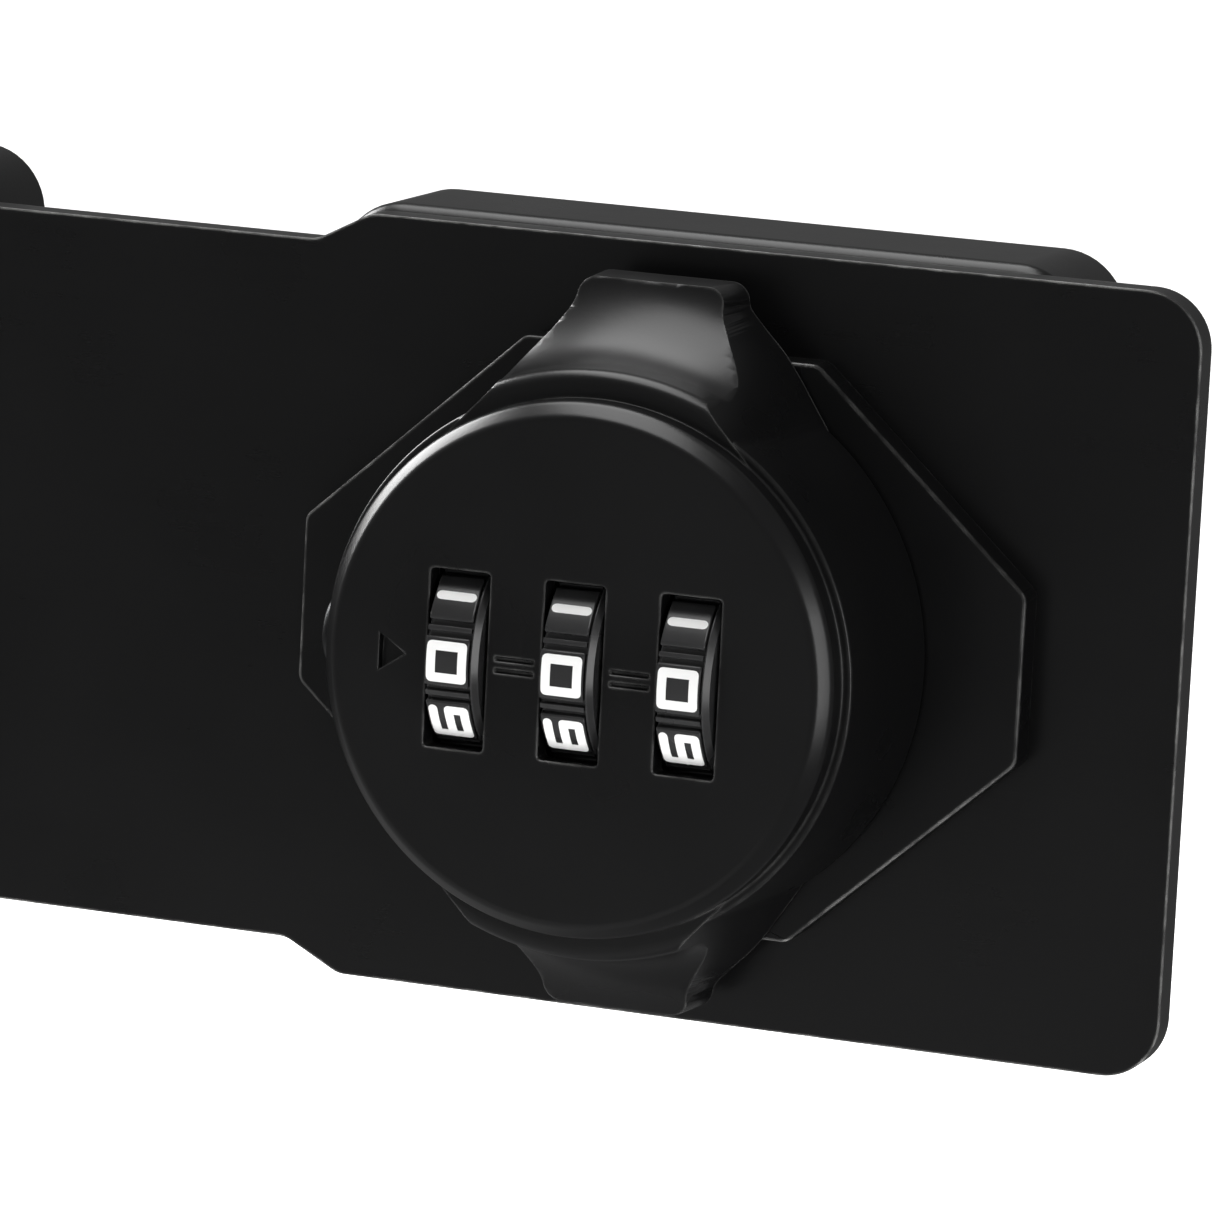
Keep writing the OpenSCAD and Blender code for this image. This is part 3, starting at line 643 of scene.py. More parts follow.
def repeated(obj, tree, material, **inputs):
    """Runs a tree on an object with named inputs, and keeps the plain mesh it makes"""
    step = obj.modifiers.new("repeat", "NODES")
    step.node_group = tree
    given = {item.name: item.identifier for item in tree.interface.items_tree
             if item.in_out == "INPUT"}
    for label, value in inputs.items():
        step[given[label.replace("_", " ").capitalize()]] = value
    step[given["Material"]] = material
    obj.update_tag()
    return apply_modifiers(obj)


def tree_named(name, make):
    """A geometry tree, made the first time it is asked for"""
    return bpy.data.node_groups.get(name) or make()


# ---- Measures of the lock that the boxes don't give, in metres ------------------------

PLATE_STEP = (-21.3 * MM, 3.4 * MM)          # middle and length of the step in the outline
PLATE_NECK = 20.7 * MM                       # half height of the narrow part
PLATE_CORNER = 3.4 * MM
FLANGE_SCREWS = (33.6 * MM, 9.0 * MM)        # between the screws, across and up
SPINDLE_HOLE = 7.0 * MM
FLANGE_CORNERS = (4.85 * MM, 8.9 * MM)       # half the flange's end edge and of its top edge
FLANGE_BORE_R = 4.05 * MM
TRACK_R = (9.68 * MM, 11 * MM, 12.32 * MM)   # inner, middle and outer radius of the stop track
TRACK_END_R, TRACK_DEPTH = 1.32 * MM, 0.8 * MM
DETENT_R = 1.25 * MM                         # the two pockets that hold the knob's positions
KNUCKLES = 5
KNUCKLE_GAP = 0.3 * MM
KNUCKLE_R = 3.5 * MM
PIN_R, PIN_HEAD_R = 1.5 * MM, 2.25 * MM
PIN_HEAD = 0.88 * MM                         # thickness of each head of the pin
PIN_BORE_R = 1.52 * MM                       # the pin stands a little clear of its bore
BASE_WALL = 2.5 * MM
BASE_CORNER = 4.0 * MM
BASE_FRONT_WALL = 2.5 * MM
HOLE_R = 2.1 * MM
SINK_R = 4.0 * MM
SINK_DEPTH = 2.2 * MM
BOSS_R = 4.4 * MM
HOLE_INSET = 5.8 * MM
SLOT = (3.5 * MM, 11.2 * MM)                 # half width and half height of the cam's slot
HINGE_POCKET = (-84.15 * MM, -3.95 * MM)     # where the hinge base drops away for the knuckles
FACE_R = 15.2 * MM
SHOULDER_R = 15.75 * MM
CAP_DEPTH = 2.2 * MM
WINDOW = (1.8 * MM, 5.1 * MM)                # half width and half height of a window
FACE_WALL = 1.4 * MM
CASE = (10.4 * MM, 7.2 * MM)                 # half width and half height of the wheels' room
BAR_ROOM = (6.6 * MM, 9.8 * MM, -23.3 * MM)  # half width, top and front of the locking bar's room
BACK_RECESS = (13.45 * MM, -15.25 * MM)      # radius and floor of the seat for the back plate
BUTTON_R = 2.15 * MM
BUTTON_SEAT = -12.2 * MM
AXLE_BORE = (1.55 * MM, 13.3 * MM)
SLEEVE_R = 2.4 * MM


def box_at(name, low, high):
    """A block between two corners, used as a cutter or as raw stock"""
    return prism(name, [(low[0], low[2]), (high[0], low[2]), (high[0], high[2]), (low[0], high[2])],
                 low[1], high[1])


def drill(from_y, to_y, r, at=(0, 0), steps=48, r_to=None):
    """A round cutter along Y; with r_to it tapers"""
    return turned("drill", [(r, from_y), (r_to or r, to_y)], at, steps)


def loft(name, rings):
    """A closed skin over rings of points that match one to one"""
    bm = bmesh.new()
    rows = [[bm.verts.new(p) for p in ring] for ring in rings]
    for row, after in zip(rows, rows[1:]):
        bridge(bm, row, after)
    bm.faces.new(rows[0][::-1])
    bm.faces.new(rows[-1])
    return from_bmesh(bm, name)


def quarter(edge, steps=5):
    """Steps of a rounded edge: (how far in, how far from the face)"""
    return [(edge * (1 - math.sin(a)), edge * (1 - math.cos(a)))
            for a in (math.pi / 2 * k / steps for k in range(steps + 1))]


def cast_box(name, low, high, edge):
    """A base's outer shape: round upright corners and a full round along the front edge"""
    rings = [[(x, high.y, z) for x, z in rounded_box(low.x, high.x, low.z, high.z, BASE_CORNER)]]
    for inset, depth in reversed(quarter(edge)):
        outline = rounded_box(low.x + inset, high.x - inset, low.z + inset, high.z - inset,
                              BASE_CORNER - inset)
        rings.append([(x, low.y + depth, z) for x, z in outline])
    return loft(name, rings)


def hollow_and_holes(base, room, places):
    """Opens a base from the back, leaves a boss round each screw hole, and sinks the holes"""
    front = strike_low.y
    (x0, x1), inner_z = room, strike_high.z - BASE_WALL
    hollow = prism("hollow", rounded_box(x0, x1, -inner_z, inner_z, 1.5 * MM, 6),
                   front + BASE_FRONT_WALL, MM)
    cut(hollow, *[drill(front, 2 * MM, BOSS_R, at) for at in places])
    cut(base, hollow)
    for at in places:
        cut(base, drill(front - MM, MM, HOLE_R, at),
            drill(front - 0.02 * MM, front + SINK_DEPTH, SINK_R, at, 64, HOLE_R))
    return base


# ---- Plate, hinge and bases -----------------------------------------------------------

def plate_outline():
    """The plate from its hinge to its free end, with a soft step on both edges"""
    wide, neck = plate_high.z, PLATE_NECK
    middle, run = PLATE_STEP
    corner, x0, x1 = PLATE_CORNER, hinge_axis.x, plate_high.x
    upper = arc(x1 - corner, wide - corner, corner, 0, 90, 14)
    steps = softened([(x1 - corner, wide), (middle + run / 2, wide), (middle - run / 2, neck),
                      (x0, neck)], 1.9 * MM, 8)
    upper += steps[9:27]                     # the two corners of the step alone
    upper.append((x0, neck))
    return upper + [(x, -z) for x, z in reversed(upper)]


def knuckle(name, z, foot=False):
    """One hinge knuckle with round ends; a base knuckle also has its foot"""
    half = ((2 * PLATE_NECK) / KNUCKLES - KNUCKLE_GAP) / 2
    edge = 0.35 * MM
    profile = [(KNUCKLE_R - i, z - half + d) for i, d in quarter(edge)][::-1]
    profile += [(KNUCKLE_R - i, z + half - d) for i, d in quarter(edge)]
    profile = sorted(set(profile), key=lambda p: p[1])
    centre = (hinge_axis.x, hinge_axis.y)
    piece = turned(name, profile, centre, 72, "Z")
    if foot:
        stock = box_at("foot", (hinge_low.x, hinge_axis.y, z - half),
                       (hinge_low.x + 2 * KNUCKLE_R, 0, z + half))
        cut(piece, round_edges(stock, 0.25 * MM), mode="UNION")
    cut(piece, turned("bore", [(PIN_BORE_R, z - 2 * half), (PIN_BORE_R, z + 2 * half)],
                      centre, 48, "Z"))
    return smooth(piece)


class HASP_OT_finishes(bpy.types.Operator):
    """Makes the lock's materials"""
    bl_idname = "hasp_lock.finishes"
    bl_label = "Finishes"

    def execute(self, context):
        materials.update(make_materials())
        return {"FINISHED"}


class HASP_OT_plate(bpy.types.Operator):
    """Builds the swinging plate and the knuckles rolled from it"""
    bl_idname = "hasp_lock.plate"
    bl_label = "Hasp Plate"

    def execute(self, context):
        sizes = context.scene.hasp_lock_sizes
        front, back = plate_low.y, plate_low.y + 2 * MM
        plate = prism("hasp_plate_leaf", plate_outline(), front, back)
        pitch = 2 * PLATE_NECK / KNUCKLES
        for i in (0, 2, 4):
            z = (i - 2) * pitch
            reach = pitch / 2 + KNUCKLE_GAP / 2
            cut(plate, box_at("notch", (hinge_axis.x - MM, front - MM, z - reach),
                              (hinge_axis.x + KNUCKLE_R + 0.45 * MM, back + MM, z + reach)))
        cut(plate, drill(front - MM, back + MM, SPINDLE_HOLE, steps=64))
        for x in (-1, 1):
            for z in (-1, 1):
                at = (x * FLANGE_SCREWS[0] / 2, z * FLANGE_SCREWS[1] / 2)
                cut(plate, drill(front - MM, back + MM, MM, at),
                    drill(back - 1.2 * MM, back + 0.02 * MM, MM, at, 48, 2.22 * MM))
        round_edges(plate, sizes.plate_edge, segments=4)
        finish_piece(plate, "hasp", materials["plate"], "black_coat", "hasp_plate")
        rolled = knuckle("hasp_knuckles", -pitch)
        repeated(rolled, tree_named("Row of pieces", row_tree), materials["plate"],
                 count=2, first=(0.0, 0.0, 0.0), step=(0.0, 0.0, 2 * pitch))
        finish_piece(smooth(rolled), "hasp", materials["plate"], "black_coat")
        return {"FINISHED"}


class HASP_OT_bases(bpy.types.Operator):
    """Builds the strike base, the hinge base with its knuckles, and the hinge pin"""
    bl_idname = "hasp_lock.bases"
    bl_label = "Bases and Pin"

    def execute(self, context):
        sizes = context.scene.hasp_lock_sizes
        strike = cast_box("strike_casting", strike_low, strike_high, sizes.base_edge)
        reach_x, reach_z = strike_high.x - HOLE_INSET, strike_high.z - HOLE_INSET
        places = [(x * reach_x, z * reach_z) for x in (-1, 1) for z in (-1, 1)]
        hollow_and_holes(strike, (strike_low.x + BASE_WALL, strike_high.x - BASE_WALL), places)
        w, h = SLOT
        cut(strike, prism("slot", rounded_box(-w, w, -h, h, w - 0.01 * MM, 12),
                          strike_low.y - MM, strike_high.y + MM))
        round_edges(strike, 0.2 * MM)
        finish_piece(strike, "bases", materials["cast"], "black_coat", "strike_base")

        front_low = Vector((hinge_low.x, strike_low.y, hinge_low.z))
        hinge = cast_box("hinge_casting", front_low, hinge_high, sizes.base_edge)
        pocket_x, pocket_y = HINGE_POCKET
        cut(hinge, box_at("pocket", (hinge_low.x - MM, -20 * MM, -30 * MM),
                          (pocket_x, pocket_y, 30 * MM)))
        far, near = hinge_axis.x + KNUCKLE_R + HOLE_INSET, hinge_high.x - HOLE_INSET
        places = [(x, z * reach_z) for x in (far, near) for z in (-1, 1)]
        hollow_and_holes(hinge, (pocket_x + BASE_WALL, hinge_high.x - BASE_WALL), places)
        round_edges(hinge, 0.25 * MM)
        finish_piece(hinge, "bases", materials["cast"], "black_coat", "hinge_base")
        pitch = 2 * PLATE_NECK / KNUCKLES
        knuckles = knuckle("base_knuckles", -2 * pitch, foot=True)
        repeated(knuckles, tree_named("Row of pieces", row_tree), materials["cast"],
                 count=3, first=(0.0, 0.0, 0.0), step=(0.0, 0.0, 2 * pitch))
        finish_piece(smooth(knuckles), "bases", materials["cast"], "black_coat")

        r, head, edge, high = PIN_R, PIN_HEAD_R, 0.4 * MM, pin_high.z
        top = [(head - i, high - d) for i, d in quarter(edge)]
        foot = [(x, -z) for x, z in reversed(top)]
        neck = high - PIN_HEAD
        pin = turned("hinge_pin_turned", foot + [(head, -neck), (r, -neck), (r, neck), (head, neck)]
                     + sorted(top, key=lambda p: p[1]), (hinge_axis.x, hinge_axis.y), 64, "Z")
        finish_piece(smooth(pin), "bases", materials["dark_steel"], "dark_steel", "hinge_pin")
        return {"FINISHED"}


# ---- Flange and its screws --------------------------------------------------------------

def sunk_screw(name, at_y, length, head_r, shank_r):
    """A countersunk screw whose head lies at at_y and whose point looks to -Y"""
    head = 1.2 * MM
    pitch, depth = 0.4 * MM, 0.12 * MM
    profile = [(head_r - 0.12 * MM, at_y), (head_r, at_y - 0.1 * MM), (head_r, at_y - 0.2 * MM),
               (shank_r - depth, at_y - head)]
    place = at_y - head
    while place - pitch > at_y - length + 0.3 * MM:
        profile += [(shank_r, place - 0.25 * pitch), (shank_r, place - 0.45 * pitch),
                    (shank_r - depth, place - pitch)]
        place -= pitch
    profile.append((shank_r * 0.5, at_y - length))
    screw = turned(name, profile, steps=40)
    arm, wide, deep = 0.6 * head_r, 0.17 * head_r, 0.75 * MM
    for x, z in ((arm, wide), (wide, arm)):
        rings = [[(s * x * k, y, t * z * k) for s, t in ((-1, -1), (1, -1), (1, 1), (-1, 1))]
                 for k, y in ((0.55, at_y - deep), (1.05, at_y + 0.05 * MM))]
        cut(screw, loft("cross", rings))
    return smooth(screw, 28)


class HASP_OT_flange(bpy.types.Operator):
    """Builds the eight-sided flange behind the knob and the four screws that hold it"""
    bl_idname = "hasp_lock.flange"
    bl_label = "Flange and Screws"

    def execute(self, context):
        sizes = context.scene.hasp_lock_sizes
        low, high = flange_low, flange_high
        end, top = FLANGE_CORNERS
        inner, middle, outer = TRACK_R
        corner = [(high.x, end), (top, high.z), (-top, high.z), (low.x, end),
                  (low.x, -end), (-top, low.z), (top, low.z), (high.x, -end)]
        flange = prism("flange_casting", softened(corner, 0.9 * MM, 5), low.y, high.y)
        cut(flange, drill(low.y - MM, high.y + MM, FLANGE_BORE_R, steps=64))
        for at in ((middle, 0), (0, -middle)):
            cut(flange, drill(low.y - MM, low.y + TRACK_DEPTH, DETENT_R, at, 32))
        track = (arc(0, 0, outer, 90, 180, 24) + arc(-middle, 0, TRACK_END_R, 180, 360, 10)[1:-1]
                 + arc(0, 0, inner, 180, 90, 24) + arc(0, middle, TRACK_END_R, -90, 90, 10)[1:-1])
        cut(flange, prism("track", track, low.y - MM, low.y + TRACK_DEPTH))
        round_edges(flange, sizes.flange_edge, angle=28, segments=4)
        finish_piece(flange, "hasp", materials["flange"], "black_coat", "lock_flange")
        back = plate_low.y + 2 * MM
        screws = sunk_screw("flange_screw_set", back, 3.4 * MM, 2.2 * MM, MM)
        repeated(screws, tree_named("Four corners", corners_tree), materials["steel"],
                 width=FLANGE_SCREWS[0], height=FLANGE_SCREWS[1])
        finish_piece(smooth(screws, 28), "hasp", materials["steel"], "steel", "flange_screws")
        return {"FINISHED"}


# ---- Knob ---------------------------------------------------------------------------------

def knob_shell(rim):
    """The turned part of the knob: soft rim, straight cap, ledge and spreading body"""
    face, foot, ledge = knob_low.y, knob_high.y, knob_low.y + CAP_DEPTH
    soft, foot_r = 0.28 * MM, 16.4 * MM
    start, end = (FACE_R - rim, face), (FACE_R, face + rim)
    profile = [(0.02 * MM, face)]
    profile += bend((start[0] - 1.2 * MM, face), start, end, soft)
    profile += bend(start, end, (FACE_R, ledge), soft)
    profile += bend((FACE_R, face + 2 * rim), (FACE_R, ledge), (SHOULDER_R, ledge), 0.16 * MM)
    profile += bend((FACE_R, ledge), (SHOULDER_R, ledge), (SHOULDER_R + 0.1 * MM, ledge + 2 * MM),
                    0.22 * MM)
    profile += bend((SHOULDER_R, ledge), (foot_r, foot), (12 * MM, foot), 0.2 * MM)
    profile.append((0.02 * MM, foot))
    return turned("knob_casting", profile, steps=200)


def bend(before, at, after, reach, steps=5):
    """Points that round the corner at `at`, starting and ending a reach away from it"""
    here, last, following = Vector(at), Vector(before), Vector(after)
    p = here + (last - here).normalized() * reach
    q = here + (following - here).normalized() * reach
    line = (p * (1 - t) ** 2 + here * 2 * t * (1 - t) + q * t ** 2
            for t in (k / steps for k in range(steps + 1)))
    return [(v.x, v.y) for v in line]


def smooth_line(points, steps=6):
    """A smooth line through the points, as Catmull and Rom draw it"""
    p = [points[0]] + list(points) + [points[-1]]
    out = []
    for a, b, c, d in zip(p, p[1:], p[2:], p[3:]):
        for k in range(steps):
            t = k / steps
            out.append(tuple(
                0.5 * (2 * b[i] + (c[i] - a[i]) * t
                       + (2 * a[i] - 5 * b[i] + 4 * c[i] - d[i]) * t * t
                       + (3 * b[i] - a[i] - 3 * c[i] + d[i]) * t ** 3) for i in (0, 1)))
    return out + [points[-1]]


# Half widths of a wing (half width, height): where it faces forwards and where it meets the flange
WING_FRONT = [(9.6, 9.0), (9.2, 11.8), (8.0, 13.4), (6.4, 15.1), (4.7, 17.2), (3.95, 18.6),
              (3.7, 19.4), (3.6, 19.9)]
WING_BACK = [(11.2, 9.0), (10.4, 12.0), (9.0, 14.4), (7.3, 16.9), (5.9, 18.4), (5.15, 19.2),
             (4.85, 19.6), (4.75, 19.9)]


WING_TIP_R = 1.1 * MM
WING_LEDGE_R = 16.8 * MM                     # where the wing rises from the ledge
SCOOP = (-23.1 * MM, 23.2 * MM, 6.45 * MM)   # centre along Y, centre's radius, and own radius


def wing(edge, side):
    """One wing: an outline that spreads to the body, crossed with a side view with a scoop"""
    foot, ledge, tip = knob_high.y, knob_low.y + CAP_DEPTH - 0.04 * MM, knob_high.z
    rings = []
    for y, half in ((ledge - 0.5 * MM, WING_FRONT), (foot, WING_BACK)):
        right = [(x * MM, z * MM) for x, z in smooth_line(half)]
        corner = right[-1][0]
        right = right[:-1] + arc(corner - WING_TIP_R, tip - WING_TIP_R, WING_TIP_R, 0, 90, 8)
        right = [(x, z) for x, z in right if z <= tip]
        outline = right + [(-x, z) for x, z in reversed(right)]
        rings.append([(x, y, z) for x, z in outline])
    outer = loft("wing", rings)
    scoop = [(r, y) for y, r in arc(*SCOOP, -82, -8, 26)]
    view = [(0.02 * MM, ledge)]
    view += bend((6 * MM, ledge), (WING_LEDGE_R, ledge), (WING_LEDGE_R, -22.2 * MM), 0.9 * MM, 8)
    view += scoop + [(23.5 * MM, foot), (0.02 * MM, foot)]
    cut(outer, turned("view", view, steps=180), mode="INTERSECT")
    round_edges(outer, edge, angle=30, segments=4)
    if side < 0:
        bm = bmesh.new()
        bm.from_mesh(outer.data)
        bm.transform(Matrix.Scale(-1, 4, (0, 0, 1)))
        bmesh.ops.recalc_face_normals(bm, faces=bm.faces)
        bm.to_mesh(outer.data)
        bm.free()
    return outer


def flared(name, outline, flare, depth):
    """A cutter into the knob's face whose mouth spreads, so the cut has a sloping edge"""
    face = knob_low.y
    middle = sum((Vector(p) for p in outline), Vector((0, 0))) / len(outline)
    wide = [Vector(p) + Vector([math.copysign(flare, away) if abs(away) > flare / 4 else 0
                                for away in Vector(p) - middle]) for p in outline]
    rings = [[(x, face - 0.02 * MM, z) for x, z in wide],
             [(x, face + flare, z) for x, z in outline], [(x, face + depth, z) for x, z in outline]]
    return loft(name, rings)


def engravings():
    """Cutters for the index arrow beside the first window and the double marks"""
    deep, slope, half, line = 0.25 * MM, 0.12 * MM, 1.1 * MM, 0.07 * MM
    arrow_deep, arrow_slope = 0.6 * MM, 0.15 * MM
    arrow = [(-10.1 * MM, 0), (-11.6 * MM, 1.05 * MM), (-11.6 * MM, -1.05 * MM)]
    tools = [flared("arrow", arrow, arrow_slope, arrow_deep)]
    for side in ("left", "right"):
        x = (wheel_at["middle"].x + wheel_at[side].x) / 2
        for z in (-0.34 * MM, 0.34 * MM):
            tools.append(flared("mark", rounded_box(x - half, x + half, z - line, z + line,
                                                    0.05 * MM, 3), slope, deep))
    return tools


class HASP_OT_knob(bpy.types.Operator):
    """Builds the knob's casting with its windows, index marks, inner room and two wings"""
    bl_idname = "hasp_lock.knob"
    bl_label = "Knob"

    def execute(self, context):
        sizes = context.scene.hasp_lock_sizes
        knob = knob_shell(sizes.rim)
        for side in (1, -1):
            cut(knob, wing(sizes.wing_edge, side), mode="UNION")
        face, back = knob_low.y, knob_high.y + MM
        w, h = CASE
        bar_w, bar_top, bar_front = BAR_ROOM
        recess_r, recess_floor = BACK_RECESS
        tools = [box_at("case", (-w, face + FACE_WALL, -h), (w, back, h)),
                 box_at("bar_room", (-bar_w, bar_front, 0), (bar_w, back, bar_top)),
                 drill(recess_floor, back, recess_r, steps=96), *engravings()]
        w, h = WINDOW
        for side in SIDES:
            x = wheel_at[side].x
            tools.append(flared("window", rounded_box(x - w, x + w, -h, h, 0.25 * MM, 4),
                                0.06 * MM, FACE_WALL + MM))
        axle = (wheel_at["middle"].y, 0)
        for name, r, start, end in (
                ("button_bore", BUTTON_R + 0.05 * MM, BUTTON_SEAT, knob_low.x - 3 * MM),
                ("axle_bore", AXLE_BORE[0], BUTTON_SEAT - MM, AXLE_BORE[1])):
            tools.append(turned(name, [(r, start), (r, end)], axle, 48, "X"))
        cut(knob, *tools)
        smooth(tidy(knob, 0.2), 30)
        finish_piece(knob, "knob", materials["knob"], "black_coat", "knob_body")
        return {"FINISHED"}


# ---- Number wheels -------------------------------------------------------------------------

PAD_REACH = 13.4       # half the angle that a numeral's pad covers
RIB = (16.6, 19.4)     # where the thin rib between two pads starts and ends
PAD_X = (-1.52 * MM, 1.1 * MM)
RING_X = 1.2 * MM      # where the smooth ring starts


def sector(start, end, r_in, r_out, x0, x1, edge):
    """A block bent round the wheel, from one angle to another, with rounded edges"""
    first, last = 180 - start, 180 - end
    outline = arc(0, 0, r_out, first, last, 10) + arc(0, 0, r_in, last, first, 10)
    bm = bmesh.new()
    sides = [[bm.verts.new((x, y, z)) for y, z in outline] for x in (x0, x1)]
    bm.faces.new(sides[0])
    bm.faces.new(sides[1][::-1])
    bridge(bm, *sides)
    return round_edges(from_bmesh(bm, "sector"), edge, angle=30)


def shifted(obj, by):
    """Moves a piece's mesh, not its object"""
    obj.data.transform(Matrix.Translation(by))
    return obj


def wheel_hub():
    """The wheel without its pads: core, bore and the smooth ring at its right end"""
    half, core, ring_r = wheel_w / 2, wheel_r - 0.42 * MM, wheel_r - 0.06 * MM
    slope = 0.3 * MM
    profile = [(SLEEVE_R, -half), (core - 0.2 * MM, -half), (core, -half + 0.2 * MM),
               (core, RING_X)]
    profile += [(ring_r - 0.05 * MM, RING_X + 0.01 * MM), (ring_r, RING_X + 0.06 * MM),
                (ring_r, half - slope), (ring_r - slope, half), (SLEEVE_R, half)]
    bm = bmesh.new()
    steps = 120
    rings = [[bm.verts.new((x, r * math.cos(2 * math.pi * k / steps),
                            r * math.sin(2 * math.pi * k / steps))) for k in range(steps)]
             for r, x in profile]
    for ring, after in zip(rings, rings[1:] + rings[:1]):
        bridge(bm, ring, after)
    return smooth(from_bmesh(bm, "hub"), 30)


# Strokes of the numerals on a 2 by 2 field, right and up from its middle
CORNERS = {"A": (-1, 1), "B": (1, 1), "C": (-1, 0), "D": (1, 0), "E": (-1, -1), "F": (1, -1),
           "T": (0, 1), "S": (0, -1)}
STROKES = ["ABFEA", "TS", "ABDCEF", "ABFE CD", "ACD BF", "BACDFE", "BAEFDC", "ABF", "ABFEA CD",
           "DCABFE"]


def capsule(p, q, r, steps=6):
    """Outline of a line with round ends"""
    p, q = Vector(p), Vector(q)
    heading = math.degrees(math.atan2(q.y - p.y, q.x - p.x))
    return arc(q.x, q.y, r, heading - 90, heading + 90, steps) + arc(
        p.x, p.y, r, heading + 90, heading + 270, steps)


def numeral_set(line):
    """All ten numerals round one wheel, as thin inlays bent to its surface"""
    half_x, half_w = 1.2 * MM - line / 2, 1.17 * MM - line / 2
    middle_x = (PAD_X[0] + PAD_X[1]) / 2 + 0.02 * MM
    bm = bmesh.new()
    for digit, strokes in enumerate(STROKES):
        turn = Matrix.Rotation(-2 * math.pi * digit / len(STROKES), 4, "X")
        for stroke in strokes.split():
            for here, there in zip(stroke, stroke[1:]):
                ends = [(CORNERS[c][0] * half_w, CORNERS[c][1] * half_x) for c in (here, there)]
                outline = capsule(*ends, line / 2)
                near, far = ([bm.verts.new(turn @ Vector((middle_x + up, -r, -right)))
                              for right, up in outline]
                             for r in (wheel_r + 0.4 * MM, wheel_r - 0.9 * MM))
                bm.faces.new(near)
                bm.faces.new(far[::-1])
                bridge(bm, near, far)
    bmesh.ops.recalc_face_normals(bm, faces=bm.faces)
    glyphs = as_object(bm, "numerals")
    shell = turned("shell", [(wheel_r, -2 * MM), (wheel_r, 2 * MM)], (0, 0), 240, "X")
    cut(shell, turned("shell_inside", [(wheel_r - 0.2 * MM, -3 * MM), (wheel_r - 0.2 * MM, 3 * MM)],
                      (0, 0), 240, "X"))
    cut(glyphs, shell, mode="INTERSECT", crossing=True)
    return smooth(glyphs, 30)


class HASP_OT_wheels(bpy.types.Operator):
    """Builds the three number wheels and their numerals"""
    bl_idname = "hasp_lock.wheels"
    bl_label = "Number Wheels"

    def execute(self, context):
        sizes = context.scene.hasp_lock_sizes
        core = wheel_r - 0.5 * MM
        top, rib_top = wheel_r - 0.03 * MM, wheel_r - 0.12 * MM
        pads = joined("pads", sector(-PAD_REACH, PAD_REACH, core, top, *PAD_X, 0.09 * MM),
                      sector(*RIB, core, rib_top, *PAD_X, 0.06 * MM))
        repeated(pads, tree_named("Ring of pieces", ring_tree), materials["wheel"],
                 count=sizes.pads, centre=(0.0, 0.0, 0.0))
        wheel = joined("wheel", smooth(pads, 30), wheel_hub())
        numerals = numeral_set(sizes.numeral_line)
        for side in SIDES:
            own = link(wheel.data.copy(), f"wheel_{side}_moulding")
            shifted(own, wheel_at[side])
            finish_piece(own, f"{side}_wheel", materials["wheel"], "wheel_plastic", f"wheel_{side}")
            paint = link(numerals.data.copy(), f"numerals_{side}")
            shifted(paint, wheel_at[side])
            finish_piece(paint, f"{side}_wheel", materials["numeral"], None)
        bpy.data.objects.remove(wheel)
        bpy.data.objects.remove(numerals)
        return {"FINISHED"}


# ---- Reset button, springs and inner metal ---------------------------------------------------

def spring(name, body, places, lie, r, wire, length, turns, *nodes):
    """Coil springs of one kind, as one piece"""
    coils = []
    for start in places:
        coil = link(bpy.data.meshes.new("coil"), "coil")
        coils.append(repeated(coil, tree_named("Coil spring", spring_tree),
                              materials["spring"], radius=r, wire=wire, length=length,
                              turns=turns, start=start, lie=lie))
    piece = smooth(joined(name, *coils), 60)
    return finish_piece(piece, body, materials["spring"], "spring_steel", *nodes)


class HASP_OT_reset(bpy.types.Operator):
    """Builds the reset button with its slotted head"""
    bl_idname = "hasp_lock.reset"
    bl_label = "Reset Button"

    def execute(self, context):
        low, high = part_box("reset_button")
        centre = (wheel_at["middle"].y, 0)
        edge = 0.35 * MM
        head = sorted(((BUTTON_R - i, low.x + d) for i, d in quarter(edge)), key=lambda p: p[1])
        foot = [(BUTTON_R, high.x - 0.1 * MM), (BUTTON_R - 0.1 * MM, high.x)]
        button = turned("reset_button_turned", head + foot, centre, 72, "X")
        slot = 0.28 * MM
        cut(button, box_at("slot", (low.x - MM, centre[0] - 1.5 * MM, -slot),
                           (low.x + 0.5 * MM, centre[0] + 1.5 * MM, slot)),
            turned("seat", [(1.5 * MM, high.x - 1.2 * MM), (1.5 * MM, high.x + MM)],
                   centre, 48, "X"))
        smooth(button, 30)
        finish_piece(button, "reset_pin", materials["dark_steel"], "dark_steel", "reset_button")
        return {"FINISHED"}


class HASP_OT_springs(bpy.types.Operator):
    """Builds the coil springs behind the axle and over the locking bar"""
    bl_idname = "hasp_lock.springs"
    bl_label = "Coil Springs"

    def execute(self, context):
        low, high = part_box("reset_spring")
        wire = 0.2 * MM
        r = (high.z - low.z) / 2 - wire
        middle = ((low.y + high.y) / 2, (low.z + high.z) / 2)
        spring("reset_coil", "knob", [(low.x + wire, *middle)], (0.0, math.pi / 2, 0.0), r, wire,
               high.x - low.x - 2 * wire, 4.0, "reset_spring")
        low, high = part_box("locking_bar_springs")
        r = (high.y - low.y) / 2 - wire
        y, z = (low.y + high.y) / 2, low.z + wire
        places = [(x, y, z) for x in (low.x + r + wire, high.x - r - wire)]
        spring("locking_bar_coils", "knob", places, (0.0, 0.0, 0.0), r, wire,
               high.z - low.z - 2 * wire, 4.0, "locking_bar_springs")
        return {"FINISHED"}


